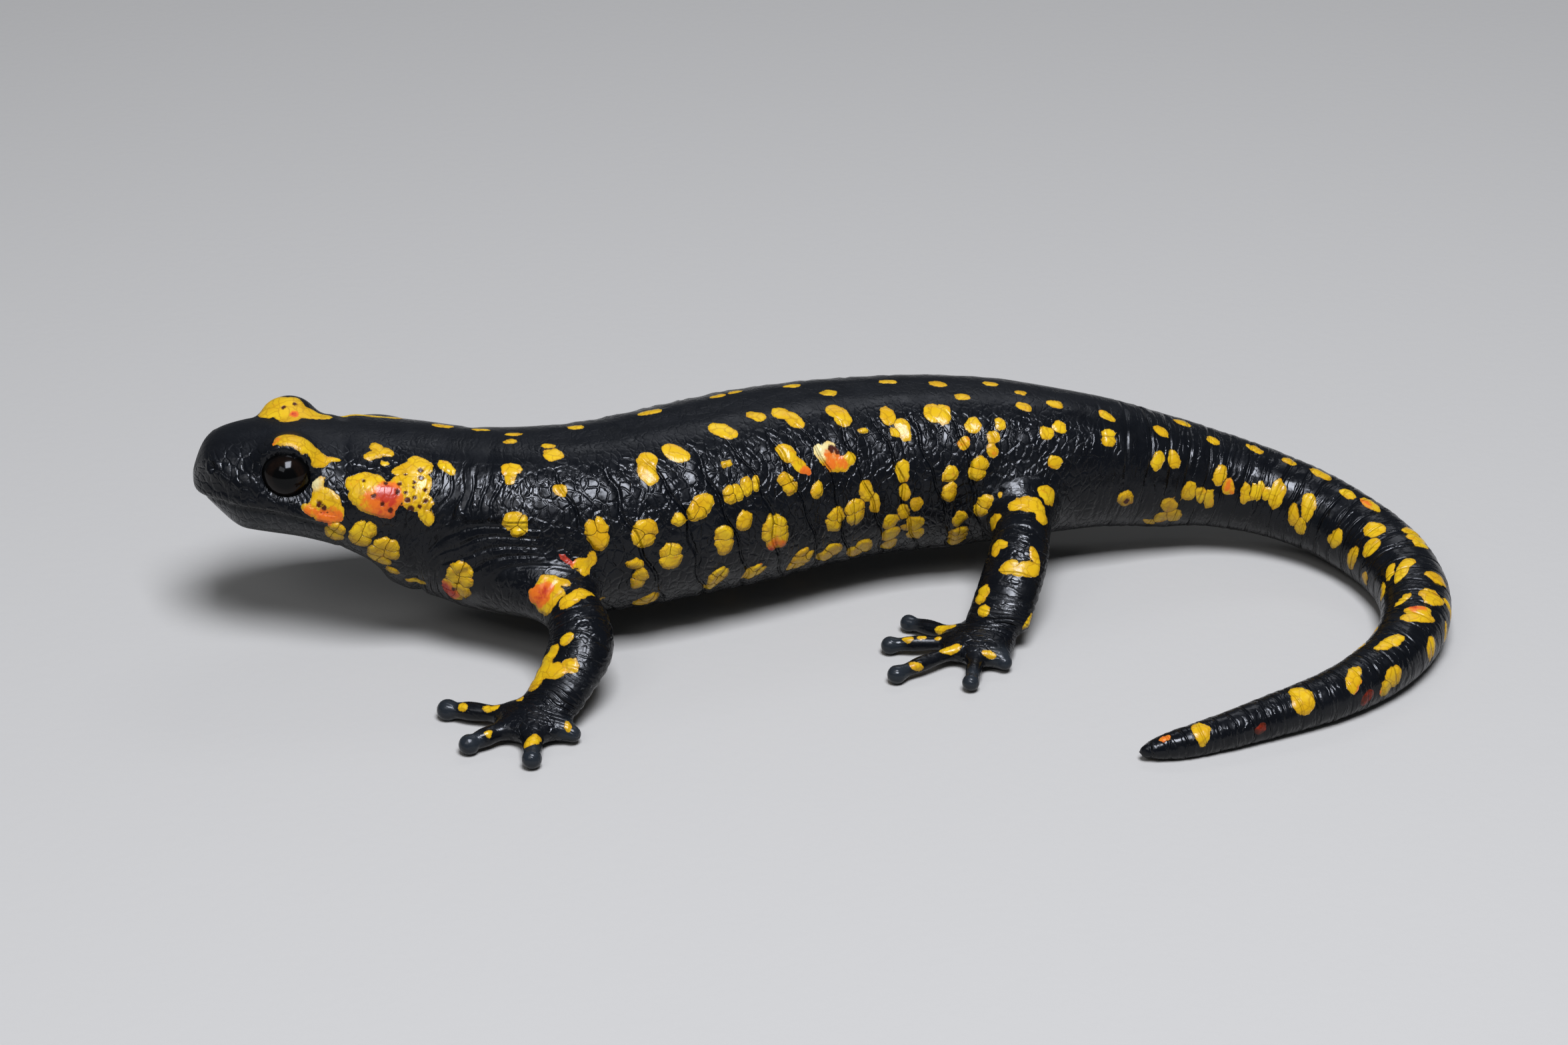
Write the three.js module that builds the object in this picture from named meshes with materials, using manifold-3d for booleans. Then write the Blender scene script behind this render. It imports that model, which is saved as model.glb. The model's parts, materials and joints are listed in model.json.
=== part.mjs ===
// Fire salamander, life size: an adult standing at rest, belly just off the floor and tail curled forward.
// Millimetres, +Z up, floor at z = 0. The snout points to -X and the animal's left side faces -Y.
// The body is one continuous form, parted by thin cuts where its parts are named.

import * as THREE from "three";
import { mergeVertices } from "three/addons/utils/BufferGeometryUtils.js";
import Module from "manifold-3d";

const wasm = await Module();
wasm.setup();

// Driving dimensions
const CUT = 0.3; // width of the thin cuts between neighbouring parts
const BODY_LENGTH = 187; // snout tip to tail tip, along the spine
const SNOUT_ROUND = 6; // length over which the snout rounds to its tip
const TAIL_ROUND = 5; // the same at the tail tip
const TAIL_PRESS = 0.22; // how far the lying tail is flattened against the floor
const PATH_STEP = 0.25; // step for laying out the spine
const CUTTER = 60; // side of the block that parts the lower jaw from the head
const FLOOR_BLOCK = 400; // side of the block that trims everything at the floor

// The spine starts at the snout tip. Headings are in degrees from +X, seen from above.
const SNOUT_POSITION = new THREE.Vector2(-61.2, -23.3);
const SNOUT_HEADING = 6;
const BENDS = [
  { part: "nape", from: 15, to: 28, turn: -13 },
  { part: "shoulders", from: 26, to: 51, turn: 33 },
  { part: "loins", from: 59, to: 87, turn: -22 },
  { part: "tail root", from: 87, to: 101, turn: 5 },
  { part: "tail curl", from: 104.5, to: 169, turn: -162 },
  { part: "tail tip", from: 176, to: 187, turn: -14 },
];

// Height of the spine's centre line over the floor: [station, height].
const SPINE_HEIGHTS = [
  [0, 18.2], [9, 17.5], [19, 15.1], [27, 13.2], [35, 12.2], [47, 11.7], [61, 11.6], [77, 11.8],
  [89, 11.4], [98, 10.6], [107, 9.0], [115, 7.2], [123, 5.5], [131, 4.2], [141, 3.3], [187, 0.5],
];

// Outline of the body: [station, half width, rise over the centre line, drop below it].
const BODY_OUTLINE = [
  [0, 5.0, 3.9, 3.6], [2.4, 5.5, 4.5, 4.2], [5.5, 6.6, 5.3, 5.2], [9, 7.5, 5.9, 5.4], [12.5, 8.5, 6.2, 5.2],
  [16, 9.2, 6.5, 5.1], [19, 9.4, 6.8, 5.8], [21, 9.3, 7.2, 6.8], [23, 9.1, 7.7, 8.4], [26, 9.0, 8.4, 9.0],
  [30, 9.4, 8.9, 9.3], [35, 10.0, 9.3, 9.6], [42, 10.6, 9.6, 9.5], [50, 11.0, 10.0, 9.0],
  [58, 11.1, 10.1, 9.0],
  [66, 10.6, 9.8, 8.8], [74, 9.9, 9.2, 8.6], [81, 9.5, 8.8, 9.1], [87, 8.8, 8.5, 8.6], [93, 7.8, 7.8, 7.8],
  [100, 6.5, 6.8, 6.5], [107, 5.5, 5.6, 5.3], [113, 4.9, 4.9, 4.7], [123, 4.3, 4.4, 4.2],
  [135, 4.05, 3.9, 3.8], [147, 3.6, 3.4, 3.3], [157, 3.0, 2.9, 2.8], [165, 2.6, 2.5, 2.4],
  [173, 2.2, 2.1, 2.0], [180, 1.75, 1.7, 1.65], [187, 1.3, 1.25, 1.2],
];
const BODY_SQUARENESS = 2.15; // exponent of the section's super-ellipse: 2 is an ellipse

// Where the trunk and tail are parted: [name, from, to, lengthwise steps, sides].
const BODY_PARTS = [
  ["neck", 25, 32, 3, 22],
  ["chest", 32, 47, 5, 22],
  ["belly", 47, 71, 6, 22],
  ["pelvis", 71, 96, 7, 22],
  ["tail_root", 96, 111, 5, 18],
  ["tail_length_1", 111, 123, 5, 16],
  ["tail_length_2", 123, 134, 5, 14],
  ["tail_length_3", 134, 145, 5, 14],
  ["tail_length_4", 145, 157, 5, 12],
  ["tail_length_5", 157, 171, 5, 12],
  ["tail_tip", 171, 187, 7, 10],
];

// Head features, in the head's own frame: distance back from the snout, out to the side, and up.
const HEAD_END = 25;
const TRUNK_SIDES = 22;
const EYE_GRID = [12, 8]; // sides and rings of a small ball
const ROUND_GRID = [12, 7];
const EYE = { back: 9.2, out: 5.0, up: 2.9, radius: 2.75 };
const EYE_LID = { back: 9.2, out: 4.5, up: 3.4, radius: 3.3 };
const MOUTH = { drop: 1.8, corner: 15.2, slope: -5.5 };
const PAROTOID = { back: 19.6, out: 6.9, up: 2.6, length: 4.9, thickness: 2.6, height: 3.0, lean: 32 };

// Limbs, each laid out from the spine at its girdle: out from the spine, back along it, and height.
const LIMBS = [
  {
    name: "left_front", side: 1, girdle: 32,
    root: { out: 4.5, back: -1.5, height: 9.5 }, joint: { out: 14.0, back: 9.8, height: 7.4 },
    wrist: { out: 21.1, back: 7.2, height: 3.0 }, palm: { out: 22.9, back: 5.0, height: 1.45 },
    tips: [[20.0, -5.0], [27.7, -2.1], [30.9, 5.3], [25.6, 10.0]],
  },
  {
    name: "right_front", side: -1, girdle: 32,
    root: { out: 4.5, back: -1.5, height: 9.5 }, joint: { out: 13.6, back: 7.0, height: 7.6 },
    wrist: { out: 19.6, back: -1.6, height: 2.9 }, palm: { out: 20.6, back: -4.2, height: 1.45 },
    tips: [[15.6, -12.2], [21.6, -14.4], [27.4, -11.2], [27.0, -3.6]],
  },
  {
    name: "left_hind", side: 1, girdle: 89,
    root: { out: 2.5, back: 0, height: 9.3 }, joint: { out: 12.6, back: 0.2, height: 9.2 },
    wrist: { out: 20.2, back: -3.4, height: 3.1 }, palm: { out: 22.4, back: -5.6, height: 1.45 },
    tips: [[16.1, -13.4], [21.2, -16.1], [27.9, -15.9], [30.7, -7.8], [27.1, -3.0]],
  },
  {
    name: "right_hind", side: -1, girdle: 89,
    root: { out: 2.5, back: 0, height: 9.3 }, joint: { out: 12.4, back: -2.6, height: 8.8 },
    wrist: { out: 19.6, back: 4.4, height: 2.9 }, palm: { out: 22.2, back: 5.2, height: 1.5 },
    tips: [[20.2, -4.8], [26.4, -5.4], [31.6, -1.6], [32.4, 5.6], [28.2, 11.4]],
  },
];
// Thickness of the limbs: [share of the way from girdle to wrist, half width, half thickness].
const ARM_OUTLINE = [[0, 3.6, 3.4], [0.33, 2.9, 2.8], [0.5, 2.9, 2.7], [0.75, 3.2, 2.5], [1, 3.1, 1.95]];
const LEG_OUTLINE = [[0, 4.1, 4.0], [0.33, 3.3, 3.2], [0.5, 3.1, 2.9], [0.75, 3.3, 2.6], [1, 3.4, 2.1]];
const LIMB_SIDES = 14;
const LIMB_PARTING = 0.5; // share of the way at which the upper and lower length meet
const JOINT_ROUND = 3; // how far from the elbow or knee its bend begins
const PALM = { radius: 3.6, thickness: 1.8 };
const DIGIT = { tip: 1.15, arch: 0.45, press: 0.3, sides: 8, steps: 7 };
// Thickness of a digit: [share of the way from the palm's centre to the tip, radius].
const DIGIT_OUTLINE = [[0, 0.75], [0.35, 0.85], [0.58, 1.1], [0.78, 0.95], [0.93, 1.15], [1, 1.15]];

// Colours: wet black skin, its yellow spots and the dark eye.
const finish = (name, color, roughness) => new THREE.MeshStandardMaterial({ name, color, roughness });
const blackSkin = finish("black skin", "#141416", 0.32);
const yellowSkin = finish("yellow skin", "#e9b414", 0.35);
const eyeball = finish("eye", "#050506", 0.05);

// Interpolates rows of [position, value, value...] with a curve that never overshoots them.
function smoothRows(rows) {
  const slopeBetween = (i, k) => (rows[i + 1][k] - rows[i][k]) / (rows[i + 1][0] - rows[i][0]);
  const slopeAt = (i, k) => {
    if (i === 0) return slopeBetween(0, k);
    if (i === rows.length - 1) return slopeBetween(i - 1, k);
    const before = slopeBetween(i - 1, k);
    const after = slopeBetween(i, k);
    return before * after <= 0 ? 0 : (2 * before * after) / (before + after);
  };
  return (x) => {
    const last = rows.length - 2;
    let i = 0;
    while (i < last && x > rows[i + 1][0]) i += 1;
    const span = rows[i + 1][0] - rows[i][0];
    const t = THREE.MathUtils.clamp((x - rows[i][0]) / span, 0, 1);
    return rows[i].slice(1).map((value, n) => {
      const k = n + 1;
      const rise = rows[i + 1][k] - value;
      const a = slopeAt(i, k) * span - rise;
      const b = rise - slopeAt(i + 1, k) * span;
      return value + rise * t + t * (1 - t) * (a * (1 - t) + b * t);
    });
  };
}

const bodyOutlineAt = smoothRows(BODY_OUTLINE);
const digitRadiusAt = smoothRows(DIGIT_OUTLINE);
const spineHeightAt = smoothRows(SPINE_HEIGHTS);

// A bend eases in and out, so that the spine has no kinks.
function eased(share) {
  const t = THREE.MathUtils.clamp(share, 0, 1);
  return (t + t * t * (3 - 2 * t)) / 2;
}

function headingAt(station) {
  const turned = BENDS.reduce((sum, b) => sum + b.turn * eased((station - b.from) / (b.to - b.from)), 0);
  return THREE.MathUtils.degToRad(SNOUT_HEADING + turned);
}

// The lying tail rests on the floor, pressed a little flat; the rest keeps its own height.
function centreHeightAt(station) {
  return Math.max(spineHeightAt(station)[0], bodyOutlineAt(station)[2] - TAIL_PRESS);
}

// Lays the spine out from the snout by walking along its heading.
const spinePoints = [new THREE.Vector3(SNOUT_POSITION.x, SNOUT_POSITION.y, centreHeightAt(0))];
for (let station = PATH_STEP; station <= BODY_LENGTH; station += PATH_STEP) {
  const before = spinePoints[spinePoints.length - 1];
  const heading = headingAt(station - PATH_STEP / 2);
  const height = centreHeightAt(station);
  const level = Math.sqrt(PATH_STEP ** 2 - (height - before.z) ** 2);
  spinePoints.push(
    new THREE.Vector3(before.x + level * Math.cos(heading), before.y + level * Math.sin(heading), height),
  );
}

// The spine's own frame at a station: centre, and unit vectors back to the tail, out to the left, and up.
function spineFrame(station) {
  const at = THREE.MathUtils.clamp(station / PATH_STEP, 0, spinePoints.length - 1.001);
  const i = Math.floor(at);
  const centre = spinePoints[i].clone().lerp(spinePoints[i + 1], at - i);
  const ahead = spinePoints[Math.max(i - 2, 0)];
  const behind = spinePoints[Math.min(i + 3, spinePoints.length - 1)];
  const back = behind.clone().sub(ahead).normalize();
  const left = new THREE.Vector3().crossVectors(back, new THREE.Vector3(0, 0, 1)).normalize();
  return { centre, back, left, up: new THREE.Vector3().crossVectors(left, back) };
}

function superEllipse(angle, squareness) {
  const c = Math.cos(angle);
  const s = Math.sin(angle);
  return [Math.sign(c) * Math.abs(c) ** (2 / squareness), Math.sign(s) * Math.abs(s) ** (2 / squareness)];
}

// Turns a closed geometry into a manifold-3d solid, facing out.
function toSolid(geometry) {
  const bare = geometry.clone();
  bare.deleteAttribute("normal");
  bare.deleteAttribute("uv");
  const merged = mergeVertices(bare, 1e-3);
  const triangles = [];
  const index = merged.index.array;
  for (let i = 0; i < index.length; i += 3) {
    const [a, b, c] = [index[i], index[i + 1], index[i + 2]];
    if (a !== b && b !== c && a !== c) triangles.push(a, b, c);
  }
  const build = (list) =>
    new wasm.Manifold(
      new wasm.Mesh({
        numProp: 3,
        vertProperties: new Float32Array(merged.attributes.position.array),
        triVerts: new Uint32Array(list),
      }),
    );
  const made = build(triangles);
  return made.volume() > 0 ? made : build(triangles.reverse());
}

// Sweeps a section along a path, by bending a cylinder: place(share along, angle, share of the radius).
function sweep(sides, steps, place) {
  const geometry = new THREE.CylinderGeometry(1, 1, 1, sides, steps);
  const position = geometry.attributes.position;
  for (let i = 0; i < position.count; i += 1) {
    const x = position.getX(i);
    const z = position.getZ(i);
    const p = place(position.getY(i) + 0.5, Math.atan2(z, x), Math.hypot(x, z));
    position.setXYZ(i, p.x, p.y, p.z);
  }
  return toSolid(geometry);
}

// How much the outline is drawn in where the snout and the tail tip round off.
function tipRounding(station) {
  const share = (distance, length) => THREE.MathUtils.clamp(distance / length, 0, 1);
  const round = (distance, length) => Math.sqrt(1 - (1 - share(distance, length)) ** 2);
  return round(station, SNOUT_ROUND) * round(BODY_LENGTH - station, TAIL_ROUND);
}

// A length of the body between two stations, made fatter all round by extra.
function bodyLength(from, to, steps, sides, extra = 0) {
  return sweep(sides, steps, (share, angle, radius) => {
    const eases = from === 0 ? 1 - Math.cos((share * Math.PI) / 2) : share;
    const endEases = to === BODY_LENGTH ? Math.sin((share * Math.PI) / 2) : eases;
    const station = from + (to - from) * endEases;
    const { centre, left, up } = spineFrame(station);
    const [halfWidth, rise, drop] = bodyOutlineAt(station);
    const [c, s] = superEllipse(angle, BODY_SQUARENESS);
    const shrink = tipRounding(station) * radius;
    const height = (s > 0 ? rise : drop) * shrink + extra;
    return centre.addScaledVector(left, c * (halfWidth * shrink + extra)).addScaledVector(up, s * height);
  });
}

function ellipsoid(centre, axes, [a, b, c], sides, rings) {
  const geometry = new THREE.SphereGeometry(1, sides, rings);
  geometry.scale(a, b, c);
  geometry.applyMatrix4(new THREE.Matrix4().makeBasis(...axes).setPosition(centre));
  return toSolid(geometry);
}

function block(size, centre, axes) {
  const geometry = new THREE.BoxGeometry(size, size, size);
  geometry.applyMatrix4(new THREE.Matrix4().makeBasis(...axes).setPosition(centre));
  return toSolid(geometry);
}

const worldAxes = [new THREE.Vector3(1, 0, 0), new THREE.Vector3(0, 1, 0), new THREE.Vector3(0, 0, 1)];
const underFloor = block(FLOOR_BLOCK, new THREE.Vector3(0, 0, -FLOOR_BLOCK / 2), worldAxes);
const aboveFloor = (solid) => solid.subtract(underFloor);

const salamander = new THREE.Group();

function addPart(name, solid, material) {
  const made = aboveFloor(solid).getMesh();
  const vertices = new Float32Array(made.numVert * 3);
  for (let i = 0; i < made.numVert; i += 1) {
    vertices.set(made.vertProperties.subarray(i * made.numProp, i * made.numProp + 3), i * 3);
  }
  const geometry = new THREE.BufferGeometry();
  geometry.setAttribute("position", new THREE.BufferAttribute(vertices, 3));
  geometry.setIndex(new THREE.BufferAttribute(made.triVerts, 1));
  geometry.computeVertexNormals();
  const mesh = new THREE.Mesh(geometry, material);
  mesh.name = name;
  salamander.add(mesh);
}

// Head: skull, lower jaw, eyes and the swollen parotoid glands behind them.
function addHead() {
  const frame = spineFrame(HEAD_END / 2);
  const axes = [frame.back, frame.left, frame.up];
  const headPoint = (back, out, up, side) => {
    const { centre } = spineFrame(back);
    return centre.addScaledVector(frame.left, side * out).addScaledVector(frame.up, up);
  };
  let skull = bodyLength(0, HEAD_END - CUT / 2, 10, TRUNK_SIDES);
  for (const side of [1, -1]) {
    const lid = headPoint(EYE_LID.back, EYE_LID.out, EYE_LID.up, side);
    skull = skull.add(ellipsoid(lid, axes, Array(3).fill(EYE_LID.radius), ...ROUND_GRID));
  }
  for (const [sideName, side] of [["left", 1], ["right", -1]]) {
    const eye = headPoint(EYE.back, EYE.out, EYE.up, side);
    skull = skull.subtract(ellipsoid(eye, axes, Array(3).fill(EYE.radius + CUT), ...EYE_GRID));
    addPart(`eye_${sideName}`, ellipsoid(eye, axes, Array(3).fill(EYE.radius), ...EYE_GRID), eyeball);

    const lean = THREE.MathUtils.degToRad(PAROTOID.lean) * side;
    const out = frame.left.clone().applyAxisAngle(frame.back, -lean);
    const over = frame.up.clone().applyAxisAngle(frame.back, -lean);
    const glandAxes = [frame.back, out, over];
    const glandCentre = headPoint(PAROTOID.back, PAROTOID.out, PAROTOID.up, side);
    const gland = (extra) =>
      ellipsoid(
        glandCentre, glandAxes,
        [PAROTOID.length + extra, PAROTOID.thickness + extra, PAROTOID.height + extra], ...EYE_GRID,
      );
    skull = skull.subtract(gland(CUT));
    const neckSocket = bodyLength(HEAD_END - CUT / 2, HEAD_END + 12, 4, TRUNK_SIDES, CUT);
    addPart(`parotoid_${sideName}`, gland(0).subtract(neckSocket), yellowSkin);
  }
  // The mouth line slopes down to its corner; the jaw is what lies under it and ahead of the corner.
  const mouthPoint = headPoint(0, 0, -MOUTH.drop, 1);
  const slope = THREE.MathUtils.degToRad(MOUTH.slope);
  const jawBack = frame.back.clone().applyAxisAngle(frame.left, -slope);
  const jawUp = frame.up.clone().applyAxisAngle(frame.left, -slope);
  const jawAxes = [jawBack, frame.left, jawUp];
  const jawBlock = (extra) => {
    const centre = mouthPoint
      .clone()
      .addScaledVector(jawBack, MOUTH.corner + extra - CUTTER / 2)
      .addScaledVector(jawUp, extra - CUTTER / 2);
    return block(CUTTER, centre, jawAxes);
  };
  addPart("lower_jaw", skull.intersect(jawBlock(0)), blackSkin);
  addPart("head", skull.subtract(jawBlock(CUT)), blackSkin);
}

function addBody() {
  for (const [name, from, to, steps, sides] of BODY_PARTS) {
    const end = to === BODY_LENGTH ? to : to - CUT / 2;
    addPart(name, bodyLength(from + CUT / 2, end, steps, sides), blackSkin);
  }
}

// One limb: upper and lower length, palm or sole, and digits, each cut back from the part that carries it.
function addLimb(limb) {
  const { centre, back, left } = spineFrame(limb.girdle);
  const level = (v) => v.clone().setZ(0).normalize();
  const outward = level(left).multiplyScalar(limb.side);
  const rearward = level(back);
  const point = ({ out, back: along, height }) =>
    new THREE.Vector3(centre.x, centre.y, height)
      .addScaledVector(outward, out)
      .addScaledVector(rearward, along);
  const isFront = limb.tips.length === 4;
  const outlineAt = smoothRows(isFront ? ARM_OUTLINE : LEG_OUTLINE);
  const [root, joint, wrist] = [limb.root, limb.joint, limb.wrist].map(point);
  const beside = (end) => joint.clone().addScaledVector(end.clone().sub(joint).normalize(), JOINT_ROUND);
  const path = new THREE.CatmullRomCurve3([root, beside(root), beside(wrist), wrist]);
  const length = (from, to, steps, extra = 0) =>
    sweep(LIMB_SIDES, steps, (share, angle, radius) => {
      const t = from + (to - from) * share;
      const along = path.getTangent(THREE.MathUtils.clamp(t, 0.001, 0.999));
      const across = new THREE.Vector3().crossVectors(along, worldAxes[2]).normalize();
      const over = new THREE.Vector3().crossVectors(across, along);
      const [halfWidth, halfThickness] = outlineAt(t);
      return path
        .getPoint(THREE.MathUtils.clamp(t, 0, 1))
        .addScaledVector(along, Math.max(t - 1, 0) * 10)
        .addScaledVector(across, Math.cos(angle) * (halfWidth + extra) * radius)
        .addScaledVector(over, Math.sin(angle) * (halfThickness + extra) * radius);
    });
  const halfCut = CUT / 2 / path.getLength();
  const trunk = bodyLength(limb.girdle - 15, limb.girdle + 21, 12, TRUNK_SIDES, CUT);
  const names = isFront ? ["upper_arm", "forearm", "hand", "finger"] : ["thigh", "shank", "foot", "toe"];
  addPart(`${limb.name}_${names[0]}`, length(0, LIMB_PARTING - halfCut, 6).subtract(trunk), blackSkin);
  addPart(`${limb.name}_${names[1]}`, length(LIMB_PARTING + halfCut, 1, 5), blackSkin);

  const palmCentre = point(limb.palm);
  const spread = limb.tips.map(([out, along]) => point({ out, back: along, height: 0 }).sub(palmCentre));
  const aim = level(spread.reduce((sum, v) => sum.add(v.clone().setZ(0).normalize()), new THREE.Vector3()));
  const palmAxes = [aim, new THREE.Vector3().crossVectors(worldAxes[2], aim), worldAxes[2]];
  const palm = (extra) =>
    ellipsoid(
      palmCentre, palmAxes,
      [PALM.radius + extra, PALM.radius + extra, PALM.thickness + extra], ...ROUND_GRID,
    );
  addPart(`${limb.name}_${names[2]}`, palm(0).subtract(length(0.4, 1 + CUT / 10, 6, CUT)), blackSkin);

  limb.tips.forEach(([out, along], i) => {
    const tipHeight = DIGIT.tip - DIGIT.press;
    const tip = point({ out, back: along, height: tipHeight });
    const start = palmCentre.clone().setZ(1.5);
    const middle = start.clone().lerp(tip, 0.6).setZ(tipHeight + DIGIT.arch);
    const digit = new THREE.CatmullRomCurve3([start, middle, tip]);
    const roundFrom = 1 - DIGIT.tip / digit.getLength();
    const shape = sweep(DIGIT.sides, DIGIT.steps, (share, angle, radius) => {
      const t = Math.sin((share * Math.PI) / 2);
      const forward = digit.getTangent(t);
      const across = new THREE.Vector3().crossVectors(forward, worldAxes[2]).normalize();
      const over = new THREE.Vector3().crossVectors(across, forward);
      const rounding = Math.sqrt(1 - THREE.MathUtils.clamp((t - roundFrom) / (1 - roundFrom), 0, 1) ** 2);
      const thickness = digitRadiusAt(t)[0] * rounding * radius;
      return digit
        .getPoint(t)
        .addScaledVector(across, Math.cos(angle) * thickness)
        .addScaledVector(over, Math.sin(angle) * thickness);
    });
    addPart(`${limb.name}_${names[3]}_${i + 1}`, shape.subtract(palm(CUT)), blackSkin);
  });
}

addHead();
addBody();
LIMBS.forEach(addLimb);

// The frame's origin is on the floor, under the middle of the whole animal.
const box = new THREE.Box3().setFromObject(salamander);
salamander.position.set(-(box.min.x + box.max.x) / 2, -(box.min.y + box.max.y) / 2, 0);

export default salamander;
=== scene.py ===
"""Fire salamander, life size: the wet skin, the eyes and the studio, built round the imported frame.

Sizes in this file are in millimetres unless a name says otherwise; meshes are made in metres.
The snout points to -X, the animal's left side faces -Y and the floor is at z = 0.
"""

import json
import math

import bmesh
import bpy
import numpy as np
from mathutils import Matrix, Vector, kdtree, noise
from mathutils.bvhtree import BVHTree

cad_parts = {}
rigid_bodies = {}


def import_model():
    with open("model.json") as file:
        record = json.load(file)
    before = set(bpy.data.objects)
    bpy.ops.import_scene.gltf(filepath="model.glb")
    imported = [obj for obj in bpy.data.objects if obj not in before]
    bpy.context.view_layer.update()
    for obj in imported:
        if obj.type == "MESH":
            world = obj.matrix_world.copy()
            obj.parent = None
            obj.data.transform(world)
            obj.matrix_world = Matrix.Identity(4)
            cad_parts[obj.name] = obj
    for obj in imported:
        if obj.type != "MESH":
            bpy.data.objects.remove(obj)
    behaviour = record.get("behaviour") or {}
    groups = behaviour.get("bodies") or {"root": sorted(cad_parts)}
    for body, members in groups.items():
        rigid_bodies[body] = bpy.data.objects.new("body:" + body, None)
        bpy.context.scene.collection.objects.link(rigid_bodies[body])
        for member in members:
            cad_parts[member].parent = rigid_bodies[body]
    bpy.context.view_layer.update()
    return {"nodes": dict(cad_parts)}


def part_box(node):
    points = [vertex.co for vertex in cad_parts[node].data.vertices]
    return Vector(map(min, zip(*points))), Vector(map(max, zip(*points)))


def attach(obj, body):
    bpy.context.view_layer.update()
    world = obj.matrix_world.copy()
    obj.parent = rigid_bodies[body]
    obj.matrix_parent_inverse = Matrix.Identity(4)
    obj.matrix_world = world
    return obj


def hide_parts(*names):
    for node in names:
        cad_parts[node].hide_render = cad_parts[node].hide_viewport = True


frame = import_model()

bl_info = {
    "name": "Fire Salamander",
    "version": (1, 0, 0),
    "blender": (4, 5, 0),
    "location": "3D View > Sidebar > Salamander",
    "description": "Makes the skin, eyes and studio of a life-size fire salamander",
    "category": "Add Mesh",
}

MM = 0.001  # metres in a millimetre

# The body's form, as the solids have it.
BODY_LENGTH = 187  # snout tip to tail tip, along the spine
SNOUT_ROUND = 6  # length over which the snout rounds to its tip
TAIL_ROUND = 5  # the same at the tail tip
TAIL_PRESS = 0.22  # how far the lying tail is flattened against the floor
SPINE_STEP = 0.25
SNOUT_HEADING = 6  # degrees from +X, seen from above
BENDS = [  # (from, to, turn in degrees)
    (15, 28, -13),  # nape
    (26, 51, 33),  # shoulders
    (59, 87, -22),  # loins
    (87, 101, 5),  # tail root
    (104.5, 169, -162),  # tail curl
    (176, 187, -14),  # tail tip
]
SPINE_HEIGHTS = [
    (0, 18.2), (9, 17.5), (19, 15.1), (27, 13.2), (35, 12.2), (47, 11.7), (61, 11.6), (77, 11.8),
    (89, 11.4), (98, 10.6), (107, 9.0), (115, 7.2), (123, 5.5), (131, 4.2), (141, 3.3), (187, 0.5),
]
BODY_OUTLINE = [  # (station, half width, rise over the centre line, drop below it)
    (0, 5.0, 3.9, 3.6), (2.4, 5.5, 4.5, 4.2), (5.5, 6.6, 5.3, 5.2), (9, 7.5, 5.9, 5.4),
    (12.5, 8.5, 6.2, 5.2), (16, 9.2, 6.8, 5.1), (19, 9.4, 7.2, 5.8), (21, 9.3, 7.6, 6.8),
    (23, 9.1, 8.0, 8.4), (26, 9.0, 8.4, 9.0), (30, 9.4, 8.9, 9.3), (35, 10.0, 9.3, 9.6),
    (42, 10.6, 9.6, 9.6), (50, 11.0, 10.0, 9.4), (58, 11.1, 10.1, 9.5), (66, 10.6, 9.8, 9.4),
    (74, 9.9, 9.2, 9.4), (81, 9.5, 8.8, 9.5), (87, 8.8, 8.5, 8.6), (93, 7.8, 7.8, 7.8),
    (100, 6.5, 6.8, 7.0), (107, 5.5, 5.6, 6.5), (113, 4.9, 4.9, 5.3), (123, 4.3, 4.4, 4.2),
    (135, 4.05, 3.9, 3.8), (147, 3.6, 3.4, 3.3), (157, 3.0, 2.9, 2.8), (165, 2.6, 2.5, 2.4),
    (173, 2.2, 2.1, 2.0), (180, 1.75, 1.7, 1.65), (187, 1.3, 1.25, 1.2),
]
BODY_SQUARENESS = 2.15  # exponent of the section's super-ellipse: 2 is an ellipse

# Head features: distance back from the snout, out to the side and up, in the head's own frame.
HEAD_MIDDLE = 12.5  # the station where the head's own frame is taken
EYE = {"back": 9.2, "out": 5.0, "up": 2.9, "radius": 2.75}
EYE_LID = {"back": 9.2, "out": 4.5, "up": 3.4, "radius": 3.3}
MOUTH_CORNER = 15.2  # station of the corner of the mouth
PAROTOID = {"back": 19.6, "out": 6.9, "up": 2.6, "axes": (4.9, 2.6, 3.0), "lean": 32}

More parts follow.
